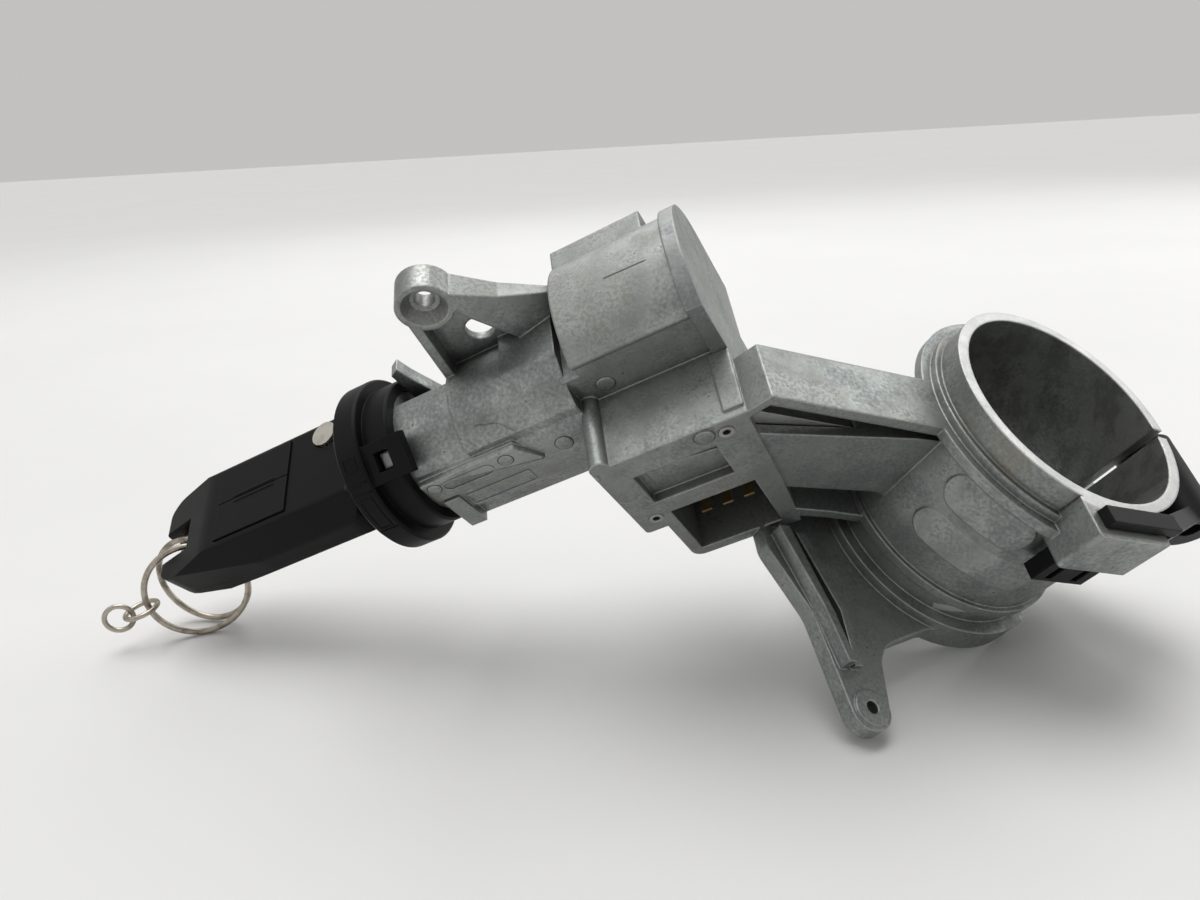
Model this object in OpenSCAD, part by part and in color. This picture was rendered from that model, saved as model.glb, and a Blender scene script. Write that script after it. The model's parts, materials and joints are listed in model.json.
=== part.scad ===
// Ignition lock with steering-lock housing, column clamp and folding remote key.
// Own frame: X runs along the lock axis from the key to the block, the side with
// the pocket faces -Y, and the origin is the centre of the reader ring's front.
// Column frame: b points from the lock to the column, n runs along the column.
// Everything is laid down at the end as it rests on a bench.

/* [Laid on the bench] */
// Turn about X that lays the part as it rests
lay_x = 36; // [-90:0.1:90]
// Turn about Y that lays the part as it rests
lay_y = -23.1; // [-90:0.1:90]
// Turn about Z that lays the part as it rests
lay_z = -9.7; // [-90:0.1:90]

/* [Lock barrel] */
// Radius of the cast barrel
barrel_r = 16; // [15:0.25:18]
// Distance from the reader ring's front to the barrel's nose
barrel_start = 9; // [8:0.25:11]
// Length of the barrel up to the block
barrel_length = 49; // [45:0.5:54]
// Half width of the barrel's flat-sided lower part
barrel_flat = 14.5; // [13:0.25:15]
// Height at which the barrel's flat sides start
barrel_flat_top = 7.5; // [5:0.25:9]
// Depth of the barrel's flat-sided part below the lock axis
barrel_keel = 14; // [13:0.25:16]
// Height of the raised bare strip
strip_h = 8; // [6:0.25:9]
// Length of the raised strip
strip_l = 27; // [20:0.5:32]
// How far the lower strip stands out from the barrel's side
strip_step = 1.5; // [0.8:0.1:2.5]
// Length of the shoulder between barrel and block
shoulder_l = 13; // [8:0.5:16]
// Radius of the barrel's rear part under the bracket
saddle_r = 17.2; // [16.4:0.1:18.4]
// Distance from the lock axis to the flat on the barrel's back
back_flat = 13.4; // [13:0.1:14.5]

/* [Mechanism block] */
// Length of the block along the lock axis
block_l = 32.5; // [28:0.5:38]
// Radius of the block's crown
crown_r = 23; // [21:0.25:26]
// Crown centre behind the lock axis
crown_y = 4; // [2:0.25:6]
// Crown centre above the lock axis
crown_z = 2; // [0:0.25:4]
// Distance of the block's front band from the lock axis
band_y = 11; // [10.5:0.25:13]
// Distance of the front plane from the lock axis
front_y = 30; // [28:0.25:33]
// Height of the flat top panel
panel_z = 4.5; // [4:0.25:7]
// Bottom of the block behind the front box
block_floor = 18; // [16:0.5:22]
// Width of the half-round rib on the top panel
rib_w = 4.6; // [3:0.2:6]
// Height of the pin strip along the front edge
pin_strip_h = 7; // [5:0.25:9]
// Width of the right-hand front post
post_w = 5.8; // [4:0.2:8]
// Width of the left-hand front post
left_post_w = 4; // [3:0.2:6]
// Height of the recessed window in the front
window_h = 12; // [9:0.25:14]
// Depth of the recessed window
window_depth = 2.5; // [1:0.1:3]
// Thickness of the lip between window and pocket
lip_h = 5.5; // [4:0.25:7]
// Width of the connector pocket
pocket_w = 21; // [19:0.5:22]
// Height of the connector pocket
pocket_h = 20.5; // [17:0.5:23]
// Depth of the connector pocket
pocket_depth = 18; // [14:0.5:18.5]
// Wall under and beside the pocket
pocket_wall = 3; // [2:0.25:4]
// Thickness of the end cover
cover_t = 3.5; // [2.5:0.25:5]
// How far the end cover stands out round the crown
cover_lip = 1.2; // [0.5:0.1:2]
// Radius of the pressed cover pins
cover_pin_r = 2.2; // [1.5:0.1:2.6]
// Length of the pressed cover pins
cover_pin_l = 3; // [2:0.2:3.4]
// Radius of the hollow pins in the front face
hollow_pin_r = 1.7; // [1.3:0.1:2]
// Radius of the bore in the hollow pins
hollow_pin_bore = 0.9; // [0.6:0.05:1.1]

/* [Arm and column clamp] */
// Angle between the lock axis and the column axis
column_angle = 41; // [38:0.5:44]
// Distance from the lock frame's origin to the clamp centre along b
clamp_b = 138.1; // [134:0.1:146]
// Clamp centre in front of the lock axis
clamp_y = 23.6; // [21:0.1:26]
// Height of the clamp's rim along n
clamp_rim = 87.7; // [85:0.1:90]
// Radius of the clamp's bore
clamp_r = 27; // [26:0.25:28]
// Wall of the clamp ring
clamp_wall = 2.6; // [2:0.1:4]
// Length of the clamp ring along the column
clamp_l = 57; // [52:0.5:62]
// Width of the slit in the clamp ring
slit_w = 2.5; // [1.5:0.25:4]
// Direction of the slit round the ring
slit_angle = -6; // [-12:0.5:2]
// Radius of the flange below the rim
flange_r = 33.5; // [32:0.25:36]
// Distance from the rim down to the flange
flange_drop = 8.1; // [6:0.1:11]
// Thickness of the arm's top and lower flanges
arm_flange_t = 2.6; // [2:0.1:4]
// Depth of the arm from front to back
arm_depth = 14.5; // [13.5:0.25:16]
// Height of the arm between its top and lower flanges
arm_h = 37; // [34:0.5:40]
// Height of the tunnel that guides the bolt
tunnel_h = 20; // [18.5:0.25:22]
// Drop from the arm's top to the tunnel
tunnel_drop = 5.6; // [4:0.1:7]
// Thickness of the web behind the arm
arm_web = 2.4; // [1.5:0.1:4]
// How far the clamp's rib and raised ovals stand out
clamp_rise = 1.3; // [0.6:0.1:2]

/* [Foot bracket] */
// Thickness of the foot plate
foot_t = 4.5; // [3:0.25:6]
// Height of the foot plate's top above the clamp's rear face
foot_rise = 5.3; // [4.5:0.1:8]
// Foot hole ahead of the lock frame's origin along b
foot_b = 100; // [95:0.5:106]
// Foot hole in front of the lock axis
foot_y = 75.7; // [68:0.1:82]
// Radius of the foot's tapped hole
foot_hole_r = 1.5; // [1:0.05:2.2]
// Radius of the foot's round end
foot_end_r = 5.2; // [4.6:0.1:7]
// Height of the foot's edge ridges
foot_ridge_h = 4; // [2:0.25:5]

/* [Eye bracket] */
// Eye position along the lock axis
eye_x = 39; // [36:0.25:42]
// Eye height above the lock axis
eye_z = 37.8; // [35:0.1:41]
// Front of the eye boss behind the lock axis
bracket_front = 3; // [1:0.25:5]
// Length of the eye boss
eye_h = 7; // [6:0.25:8]
// Radius of the eye boss
eye_r = 6.5; // [6:0.1:7.5]
// Radius of the hole in the eye
eye_hole_r = 2.3; // [2:0.05:2.8]
// Radius of the cup's mouth round the eye's hole
eye_cup_r = 5.2; // [4.5:0.1:5.6]
// Depth of the cup
eye_cup_depth = 3; // [1:0.1:4]
// Thickness of the bracket web
web_t = 2; // [1.5:0.1:3]
// Radius of the locating hole in the web
web_hole_r = 3.4; // [2.8:0.1:4]
// Width of the bracket's rib
bracket_rib_w = 2.3; // [1.5:0.1:3]

/* [Reader ring] */
// Outer radius of the reader ring
ring_r = 22; // [20.5:0.25:24]
// Width of the ring's band
ring_band = 7; // [6:0.25:8]
// Length of the ring with its skirt
ring_l = 14; // [12.5:0.25:16]
// Wall of the ring's skirt
ring_skirt = 3; // [2:0.1:4]
// Bevel on the ring's edges
ring_edge = 1; // [0.4:0.1:1.6]
// Width of the ring's clip tab
tab_w = 10; // [8:0.25:12]
// How far the clip tab stands out of the skirt
tab_rise = 1.4; // [0.8:0.1:2]
// Radius of the ring's front opening
ring_mouth_r = 13; // [12.2:0.1:13.6]
// Radial depth of the coil
coil_h = 1.5; // [1:0.1:1.6]
// Width of the coil
coil_w = 5; // [3:0.25:6]

/* [Lock cylinder] */
// Radius of the lock cylinder's sleeve
sleeve_r = 11.5; // [10.5:0.25:12]
// Front of the sleeve behind the reader ring's front
sleeve_front = 2; // [1:0.25:4]
// Length of the sleeve
sleeve_l = 48; // [44:0.5:52]
// Radius of the turning plug
plug_r = 7.5; // [7:0.25:8.5]
// How far the plug stands out of its sleeve
plug_nose = 1; // [0.5:0.1:2]
// Number of wafer tumblers
wafers = 6; // [4:1:7]
// Distance between wafers
wafer_pitch = 4.5; // [4:0.1:5]
// Thickness of a wafer
wafer_t = 1.2; // [0.8:0.1:1.6]
// Width of a wafer
wafer_w = 12.4; // [11.4:0.1:12.8]
// Height of a wafer
wafer_h = 5.6; // [5:0.1:6.4]
// Radius of the tail shaft
shaft_r = 3.5; // [3:0.1:4.5]
// Radius of the locking cam
cam_r = 8; // [7:0.1:8.2]
// Width of the locking cam
cam_w = 7; // [5:0.25:9]
// Radius of the sleeve's retaining pin
sleeve_pin_r = 1.5; // [1:0.1:2]

/* [Ignition switch] */
// Radius of the switch's round cup
switch_r = 8.6; // [8.2:0.1:8.8]
// Length of the switch cup
switch_l = 12.5; // [10:0.25:14]
// Radius of the turning contact carrier
rotor_r = 6.6; // [5.5:0.1:7]
// Width of the neck down to the connector
neck_w = 8; // [6:0.25:9]
// Thickness of the connector's base
connector_t = 4; // [3:0.25:6]
// Number of terminals in each row
terminals = 3; // [2:1:4]
// Distance between terminals
terminal_pitch = 5.6; // [4:0.1:5.8]
// Width of a terminal blade
terminal_w = 2.8; // [1.5:0.1:3.2]
// Length of a terminal blade
terminal_l = 8; // [5:0.25:9]

/* [Steering bolt] */
// Height of the bolt along the column
bolt_h = 14; // [12:0.25:15]
// Thickness of the bolt
bolt_t = 8; // [6:0.25:9]
// How far the bolt's nose stops short of the bore when withdrawn
bolt_setback = 1.4; // [0.6:0.1:2]
// Stroke of the bolt
bolt_stroke = 10; // [8:0.25:11]
// Length of the bolt with its carriage
bolt_l = 49; // [46:0.25:52]
// Length of the carriage at the bolt's tail
carriage_l = 12; // [10:0.25:14]
// Radius of the bolt spring
spring_r = 2.4; // [2:0.1:2.8]
// Wire radius of the bolt spring
spring_wire_r = 0.45; // [0.3:0.05:0.6]

/* [Key] */
// Width of the blade
blade_w = 8.6; // [7:0.1:9]
// Thickness of the blade
blade_t = 2.4; // [1.8:0.1:2.6]
// Depth to which the blade is pushed in
blade_depth = 34; // [28:0.5:38]
// Length of the remote's body
fob_l = 70; // [62:0.5:78]
// Width of the remote's body at the blade
fob_w = 35; // [32:0.25:38]
// Width of the remote's body at the tail
fob_tail_w = 25; // [22:0.25:28]
// Thickness of the remote's body
fob_t = 16; // [14:0.25:18]
// Gap between the remote and the reader ring's front
fob_gap = 5; // [4:0.25:9]
// Offset of the remote's middle behind the blade
fob_offset = 3; // [0:0.25:5]
// Wall of the remote's shells
fob_wall = 1.8; // [1.2:0.1:2.4]
// Height of the parting line below the remote's middle
parting_drop = 3; // [1:0.25:4]
// Radius of the blade's pivot
pivot_r = 5; // [4:0.1:6]
// Radius of the release button
release_r = 3.6; // [2.5:0.1:4]
// Stroke of the release button
release_stroke = 1.5; // [1:0.1:2]
// Stroke of the lock and unlock buttons
press_stroke = 0.8; // [0.4:0.05:1]
// Radius of the split ring
split_r = 13.5; // [11:0.25:15]
// Radius of the small rings
small_r = 4.4; // [3.5:0.1:5.5]
// Wire radius of the small rings
small_wire_r = 0.7; // [0.5:0.05:0.9]

/* [Column clip] */
// Width of the clip's tongue in its socket
clip_w = 15; // [12:0.25:18]
// Thickness of the clip's tongue
clip_t = 4; // [3:0.1:5]
// Radius of the clip's guide eye
guide_r = 6.8; // [5.5:0.1:8]
// Radius of the hole through the guide eye
guide_hole_r = 2.6; // [2:0.1:3.5]
// Length of the guide eye
guide_l = 24; // [18:0.5:28]

/* [Fits] */
// Radial running clearance of turning pieces
run_gap = 0.08; // [0.03:0.01:0.1]
// Radial clearance of pieces that are pushed in and stay
seat_gap = 0.1; // [0.05:0.01:0.2]
// Clearance round sliding pieces
slide_gap = 0.3; // [0.2:0.05:0.4]

/* [Hidden] */
$fn = 48;

cast_grey = [0.62, 0.64, 0.65];
steel = [0.72, 0.72, 0.7];
black_plastic = [0.05, 0.05, 0.055];

// Lock barrel and block, along X
block_x0 = barrel_start + barrel_length;
block_x1 = block_x0 + block_l;
crown_x0 = block_x0 + rib_w;
cover_x1 = block_x1 + cover_t;
bore_r = sleeve_r + seat_gap;
cavity_r = switch_r + seat_gap;
plug_x0 = sleeve_front - plug_nose;
plug_x1 = sleeve_front + sleeve_l;
switch_x1 = block_x1 - seat_gap;
switch_x0 = switch_x1 - switch_l;
cam_x0 = block_x0 + rib_w + slide_gap;

// Clip tab of the reader ring and the cast nub that it snaps over
skirt_r = barrel_r + seat_gap + ring_skirt;
tab_turn = 38;
tab_x1 = ring_l + 4;
nub_x = barrel_start + 1.1;
nub_l = 2.5;
nub_w = 3.8;
nub_h = 2.4;
nub_gap = 0.5;

// Front of the block, in X and Z
window_x0 = crown_x0 - 1.6 + left_post_w;
window_x1 = block_x1 - post_w;
window_z1 = panel_z - pin_strip_h;
window_z0 = window_z1 - window_h;
pocket_z1 = window_z0 - lip_h;
pocket_z0 = pocket_z1 - pocket_h;
pocket_x1 = block_x1 - pocket_wall;
pocket_x0 = pocket_x1 - pocket_w;
pocket_back = front_y - pocket_depth;
box_z0 = pocket_z0 - pocket_wall;
box_x0 = pocket_x0 - pocket_wall;
box_back = 10;
neck_x1 = switch_x1 - 2;
neck_x0 = neck_x1 - neck_w;
neck_z0 = pocket_z0 + 4;
neck_back = 6;

// Arm and clamp, in the column frame
clamp_n0 = clamp_rim - clamp_l;
clamp_outer_r = clamp_r + clamp_wall;
arm_top = clamp_rim - flange_drop;
arm_low = arm_top - arm_h;
arm_back = front_y - arm_depth;
tunnel_top = arm_top - tunnel_drop;
tunnel_low = tunnel_top - tunnel_h;
bolt_n = (tunnel_top + tunnel_low) / 2;
bolt_y = front_y - arm_depth / 2 - 0.5;
bolt_tip = clamp_b - clamp_r - bolt_setback;
bolt_tail = bolt_tip - bolt_l;
carriage_front = bolt_tail + carriage_l;
tongue_l = 14;
tongue_n1 = bolt_n - bolt_h / 2 - 1;
tongue_h = 9;
finger_w = 4;
finger_h = 5;
finger_y = cam_r + 1;
foot_n1 = clamp_n0 + foot_rise;
foot_n0 = foot_n1 - foot_t;
foot_waist = 7;
ear_reach = clamp_r + 9;
ear_n = clamp_n0 + 19;

// Raised ovals of the clamp: drop below the rim, height, half length and direction
oval_drop = [12.3, 24.7];
oval_h = [9.2, 8.4];
oval_half = [11, 15];
oval_turn = [-133, -123.5];

// Eye bracket and the barrel under it
bracket_back = bracket_front + eye_h;
web_hole = [eye_x + 4.2, eye_z - 15.6];
cup_floor_r = eye_hole_r + 0.9;
saddle_x0 = eye_x - 9;
back_turn = 43.2;

// Key and remote
blade_slot = slide_gap / 2;
fob_x1 = -fob_gap;
fob_x0 = fob_x1 - fob_l;
fob_y0 = fob_offset - fob_w / 2;
fob_y1 = fob_offset + fob_w / 2;
pivot_x = fob_x1 - pivot_r - 4.5;
pivot_y = fob_y1 - pivot_r - 3;
parting_z = -parting_drop;
button_x1 = pivot_x - pivot_r - 7;
button_l = 24;
button_w = 11;
button_split = fob_offset + 1.5;
button_gap = 0.35;
bar_x = fob_x0 + 4.5;
bar_r = 1.4;
bar_l = fob_tail_w - 12;
split_wire_r = 0.85;
split_open = 25;
ring_slack = 0.2;
ring_hang = split_r - split_wire_r - bar_r - slide_gap - ring_slack;
ring_turn = [58.7, 9.8, -6];
half_t = fob_t / 2;
cell_r = 8;
cell_h = 3.2;
board_t = 1.2;
cavity_x0 = fob_x0 + 18;
cavity_x1 = pivot_x - pivot_r - 3;
cavity_y0 = fob_offset - 11;
cavity_y1 = fob_offset + 13.2;
blade_tip = plug_x0 + blade_depth;
pivot_z0 = parting_z - 1;
pivot_z1 = 3;
head_r = pivot_r + 2.3;
sweep_r = norm([fob_x1 - pivot_x, pivot_y + blade_w / 2]) + slide_gap;
notch_x1 = cavity_x0 - 2.3;
notch_back = 3.4;
flip_wire_r = 0.28;
flip_turns = 2;

// Column clip
clip_b = clamp_b - 3;
clip_y = clamp_y + clamp_outer_r + clip_t / 2 + 0.8;
socket_wall = 2.5;
socket_n0 = arm_top - 4;
clip_rise = 2.4;
guide_b = clamp_b + clamp_outer_r + guide_r + 1.7;
guide_n = arm_top - 3;
guide_y = clamp_y + 22;

// Unit vector along v.
function unit(v) = v / norm(v);

// Turn between two directions, folded into half a circle either way.
function turn(a) = a > 180 ? a - 360 : a < -180 ? a + 360 : a;

// Arc that rounds the corner at p between a and c with radius r.
function corner(a, p, c, r, n = 6) =
    let (u = unit(a - p), v = unit(c - p), half = acos(u * v) / 2)
    let (m = p + unit(u + v) * r / sin(half))
    let (s = p + u * r / tan(half) - m, e = p + v * r / tan(half) - m)
    let (a0 = atan2(s.y, s.x), da = turn(atan2(e.y, e.x) - a0))
    [for (i = [0:n]) m + r * [cos(a0 + da * i / n), sin(a0 + da * i / n)]];

// Outline through points [x, y, radius], each corner rounded by its radius.
function rounded(p) =
    let (k = len(p))
    [for (i = [0:k - 1])
        let (b = p[i], a = p[(i + k - 1) % k], c = p[(i + 1) % k])
        each b.z == 0 ? [[b.x, b.y]] : corner([a.x, a.y], [b.x, b.y], [c.x, c.y], b.z)];

// Extrudes an outline in Y and Z from x0 to x1.
module prism_x(x0, x1)
    translate([x0, 0, 0]) rotate([90, 0, 90]) linear_extrude(x1 - x0) children();

// Extrudes an outline in X and Z from y0 to y1.
module prism_y(y0, y1)
    translate([0, y1, 0]) rotate([90, 0, 0]) linear_extrude(y1 - y0) children();

// Extrudes an outline in X and Y from z0 to z1.
module prism_z(z0, z1)
    translate([0, 0, z0]) linear_extrude(z1 - z0) children();

// Box between two corners.
module box(a, b) translate(a) cube(b - a);

// Cylinder along X from x0 to x1.
module rod_x(x0, x1, r)
    translate([x0, 0, 0]) rotate([0, 90, 0]) cylinder(r = r, h = x1 - x0);

// Cylinder along Y from y0 to y1 at [x, z].
module rod_y(y0, y1, r, at)
    translate([at.x, y1, at.y]) rotate([90, 0, 0]) cylinder(r = r, h = y1 - y0);

// Cylinder along Z from z0 to z1 at [x, y].
module rod_z(z0, z1, r, at)
    translate([at.x, at.y, z0]) cylinder(r = r, h = z1 - z0);

// Torus of wire radius w on ring radius r about Z.
module wire_ring(r, w)
    rotate_extrude() translate([r, 0]) circle(w, $fn = 24);

// Coil of wire radius w on radius r along Z, swept round by round.
module coil(r, w, length, turns, sides = 6, steps = 10) {
    rings = turns * steps;
    points = [for (i = [0:rings], j = [0:sides - 1])
        let (a = 360 * i / steps, t = 360 * j / sides)
        [(r + w * cos(t)) * cos(a), (r + w * cos(t)) * sin(a),
         w + (length - 2 * w) * i / rings + w * sin(t)]];
    sides_of = [for (i = [0:rings - 1], j = [0:sides - 1])
        let (k = (j + 1) % sides)
        each [[i * sides + j, (i + 1) * sides + j, i * sides + k],
              [i * sides + k, (i + 1) * sides + j, (i + 1) * sides + k]]];
    cap = [for (j = [0:sides - 1]) j];
    polyhedron(points, concat(sides_of, [cap, [for (j = cap) rings * sides + sides - 1 - j]]));
}

// Turns the column frame's b, y, n into the lock frame.
module column_frame() rotate([0, 90 - column_angle, 0]) children();

// Lays the part on the bench, with the clamp's centre at the origin.
module laid()
    rotate([lay_x, lay_y, lay_z])
        rotate([0, 90 - column_angle, 0])
            translate([-clamp_b, clamp_y, -(clamp_rim - clamp_l / 2)])
                rotate([0, column_angle - 90, 0]) children();

// Point of the lock frame's X, Z plane in the column frame's b, n plane.
function in_column(x, z) =
    [x * sin(column_angle) - z * cos(column_angle),
     x * cos(column_angle) + z * sin(column_angle)];

// Barrel with its flat-sided keel, bare strips, shoulder, fin and lug.
module barrel_solid() {
    keel_x0 = ring_l + seat_gap;
    fin_x0 = keel_x0 + 0.5;
    cut_x0 = keel_x0 - 0.6;
    difference() {
        union() {
            rod_x(barrel_start, block_x0 + 1, barrel_r);
            box([keel_x0, -barrel_flat, -barrel_keel], [block_x0 + 1, barrel_flat, barrel_flat_top]);
        }
        rotate([-back_turn, 0, 0])
            box([cut_x0, -2 * barrel_r, back_flat], [saddle_x0, 2 * barrel_r, 2 * barrel_r]);
    }
    intersection() {
        rod_x(saddle_x0, block_x0 + 1, saddle_r);
        box([saddle_x0, -barrel_flat, barrel_flat_top], [block_x0 + 1, 2 * barrel_r, 2 * barrel_r]);
    }
    rotate([tab_turn, 0, 0])
        box([nub_x, -nub_w / 2, 0], [nub_x + nub_l, nub_w / 2, barrel_r + nub_h]);
    prism_y(-barrel_flat - 1, -barrel_flat + 1)
        polygon([[keel_x0 + 1, barrel_flat_top], [keel_x0 + strip_l, barrel_flat_top],
                 [keel_x0 + strip_l + 5, barrel_flat_top - strip_h],
                 [keel_x0 + 1, barrel_flat_top - strip_h]]);
    prism_y(-barrel_flat - strip_step, -barrel_flat + 1)
        polygon(rounded([[keel_x0 + 6, barrel_flat_top - strip_h - 1, 0],
                         [block_x0 + 1, barrel_flat_top - strip_h - 1, 0],
                         [block_x0 + 1, barrel_flat_top - 2 * strip_h, 0],
                         [keel_x0 + 6, barrel_flat_top - 2 * strip_h, 2]]));
    prism_x(block_x0 - shoulder_l, block_x0 + 1)
        polygon(rounded([[-6, 0, 0], [-6, saddle_r + 0.2, 2.5], [barrel_r + 2, saddle_r + 0.2, 3],
                         [barrel_r + 2, -barrel_keel, 0], [0, -barrel_keel, 0]]));
    prism_y(barrel_flat - 3.5, barrel_flat)
        polygon([[fin_x0, barrel_flat_top - 5], [fin_x0, barrel_r + 1.8], [fin_x0 + 2.5, barrel_r + 3.2],
                 [fin_x0 + 3.5, barrel_r - 2], [fin_x0 + 6.5, barrel_flat_top - 4]]);
    box([keel_x0 + 2, -barrel_flat - 2.5, -barrel_keel],
        [keel_x0 + 6.5, -barrel_flat + 1, barrel_flat_top - strip_h - 1]);
}

// Crown of the block in Y and Z, flat at the band, grown by lip.
module crown_outline(lip) {
    difference() {
        translate([crown_y, crown_z]) circle(crown_r + lip, $fn = 96);
        translate([-band_y - lip - 2 * crown_r, -2 * crown_r]) square([2 * crown_r, 4 * crown_r]);
        translate([-2 * crown_r, -4 * crown_r - block_floor]) square(4 * crown_r);
    }
    translate([-band_y - lip, -block_floor])
        square([band_y + crown_y + crown_r + 2 * lip, block_floor + crown_z]);
}

// Front box with its posts and pocket walls, in X and Z.
module front_outline()
    polygon(rounded([[block_x0, panel_z, 0], [block_x1, panel_z, 0], [block_x1, box_z0, 0],
                     [box_x0, box_z0, 3], [box_x0, window_z0 - 11, 0],
                     [block_x0, window_z0 - 11, 1]]));

// Block before its hollows are cut.
module block_solid() {
    prism_x(crown_x0, block_x1) crown_outline(0);
    box([block_x0, -band_y, -block_floor], [crown_x0 + 1, barrel_r + 4, barrel_r - 2]);
    prism_x(crown_x0, block_x1 - 5)
        polygon(rounded([[6, 0, 0], [6, crown_r - 2, 1], [crown_y + crown_r - 3, crown_r - 2, 2],
                         [crown_y + crown_r - 3, 0, 0]]));
    prism_y(-front_y, 1 - band_y) front_outline();
    box([box_x0, -band_y, box_z0], [block_x1, box_back, 1 - block_floor]);
    rod_y(-front_y, 1 - band_y, rib_w / 2, [block_x0 + rib_w / 2, panel_z]);
    rod_x_at(crown_x0, block_x1, 1.6, [-band_y + 0.6, crown_r - 5]);
    box([block_x1 - 1, -front_y + 2, panel_z - 3],
        [cover_x1, -band_y - cover_lip - seat_gap, panel_z + 0.6]);
}

// Cylinder along X from x0 to x1 at [y, z].
module rod_x_at(x0, x1, r, at) translate([0, at.x, at.y]) rod_x(x0, x1, r);

// Arm from the block to the clamp: web, two flanges, bolt tunnel and root wall.
module arm_solid() {
    corner_b = in_column(cover_x1 - 0.4, panel_z - 0.25);
    top_b = corner_b.x + 3;
    end_b = clamp_b - clamp_r + 6;
    low_b = in_column(block_x1, box_z0).x;
    column_frame() {
        prism_y(-arm_back - arm_web, -arm_back)
            polygon([in_column(block_x1 - 1, panel_z), corner_b, [top_b, arm_top], [end_b, arm_top],
                     [end_b, foot_n0], [low_b, foot_n0], in_column(block_x1 - 1, box_z0)]);
        prism_y(-front_y, -arm_back)
            polygon([[end_b, arm_top], [top_b, arm_top], corner_b, corner_b + [1, -arm_flange_t],
                     [top_b + 1, arm_top - arm_flange_t], [end_b, arm_top - arm_flange_t]]);
        prism_y(1 - front_y, -arm_back)
            polygon(rounded([[end_b, tunnel_top + 1, 0], [end_b - 14, tunnel_top, 8],
                             in_column_3(block_x1 - 1, -2), in_column_3(block_x1 - 1, -26),
                             [end_b - 10, tunnel_low, 8], [end_b, tunnel_low - 6, 0]]));
        prism_y(-front_y, -arm_back)
            polygon([in_column(block_x1 - 1, box_z0 + 8), in_column(block_x1 - 1, box_z0 + 4),
                     [low_b + 6, arm_low], [end_b - 6, arm_low], [end_b + 8, arm_low - 9],
                     [end_b + 10, arm_low - 6], [end_b - 5, arm_low + arm_flange_t],
                     [low_b + 6, arm_low + arm_flange_t]]);
    }
    prism_y(-front_y, -arm_back)
        polygon([[block_x1 - 1, panel_z], [cover_x1, panel_z], [cover_x1 - 1, box_z0 / 2],
                 [block_x1 + 1, box_z0], [block_x1 - 1, box_z0]]);
}

// Same as in_column, with a square corner for rounded().
function in_column_3(x, z) = let (p = in_column(x, z)) [p.x, p.y, 0];

// Ring of the column clamp with its flanges, screw ears and clip socket.
module clamp_solid() {
    at = [clamp_b, -clamp_y];
    column_frame() {
        rod_z(clamp_n0, clamp_rim, clamp_outer_r, at);
        intersection() {
            union() {
                rod_z(arm_top - arm_flange_t, arm_top, flange_r, at);
                rod_z(arm_top - 1, arm_top + 2, flange_r - 2.4, at);
            }
            box([0, -100, 0], [clamp_b + 6, 100, 200]);
        }
        intersection() {
            rod_z(clamp_n0, clamp_n0 + 8, flange_r - 0.5, at);
            box([0, -100, 0], [clamp_b + 18, 100, 200]);
        }
        rod_z(clamp_n0 + 13, clamp_n0 + 15.5, clamp_outer_r + clamp_rise, at);
        for (i = [0, 1]) raised_oval(i);
        prism_z(clamp_n0 + 8, clamp_n0 + 30) screw_ears();
        prism_z(socket_n0, clamp_rim)
            polygon(rounded([[clip_b - clip_w / 2 - socket_wall, -clamp_y - clamp_r, 0],
                             [clip_b + clip_w / 2 + socket_wall, -clamp_y - clamp_r, 0],
                             [clip_b + clip_w / 2 + socket_wall, -clip_y - clip_t / 2 - socket_wall, 1],
                             [clip_b - clip_w / 2 - socket_wall, -clip_y - clip_t / 2 - socket_wall, 1]]));
    }
}

// Raised oval on the clamp's front, flush at its top and proud at its lower edge.
module raised_oval(i) {
    n1 = clamp_rim - oval_drop[i];
    n0 = n1 - oval_h[i];
    half = oval_half[i];
    r = oval_h[i] / 2 - 0.1;
    translate([clamp_b, -clamp_y, 0]) intersection() {
        rotate_extrude()
            polygon([[clamp_r + 1, n0], [clamp_outer_r + clamp_rise, n0],
                     [clamp_outer_r + 0.2, n1], [clamp_r + 1, n1]]);
        rotate([0, 0, oval_turn[i]]) prism_x(0, 2 * clamp_r)
            polygon(rounded([[-half, n0, r], [half, n0, r], [half, n1, r], [-half, n1, r]]));
    }
}

// Outline of the two ears beside the slit, in b and y.
module screw_ears()
    translate([clamp_b, -clamp_y]) rotate(slit_angle)
        translate([clamp_r + 1, -slit_w / 2 - 6]) square([14, slit_w + 12]);

// Foot bracket: plate below the arm, round end with its pad, and edge ridges.
module foot_solid() {
    left_b = in_column(block_x1, box_z0).x - 8;
    edge_b = foot_b - foot_end_r;
    waist_b = foot_b - foot_waist;
    waist_y = (foot_y + front_y) / 2;
    column_frame() {
        prism_z(foot_n0, foot_n1) {
            polygon(rounded([[left_b, -arm_back, 0], [left_b, -front_y - 6, 6],
                             [waist_b - 1, -waist_y, 14], [edge_b, -foot_y, 0],
                             [foot_b + foot_end_r, -foot_y, 0],
                             [foot_b + foot_waist + 1, -waist_y - 8, 9],
                             [clamp_b - 14, -clamp_y - clamp_outer_r - 2, 0],
                             [clamp_b, -clamp_y - clamp_outer_r, 0], [clamp_b, -arm_back, 0]]));
            translate([foot_b, -foot_y]) circle(foot_end_r);
        }
        rod_z(foot_n0 - 1, foot_n1 + 0.6, foot_end_r - 1, [foot_b, -foot_y]);
        for (inset = [0, 6])
            prism_z(foot_n1 - 1, foot_n1 + foot_ridge_h - inset / 3)
                polygon([[left_b + inset + 2, -front_y - 2], [waist_b + inset - 0.6, -waist_y],
                         [edge_b + inset * 0.5, -foot_y + 9], [edge_b + inset * 0.5 + 2, -foot_y + 9],
                         [waist_b + inset + 1.4, -waist_y], [left_b + inset + 5, -front_y - 2]]);
    }
}

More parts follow.
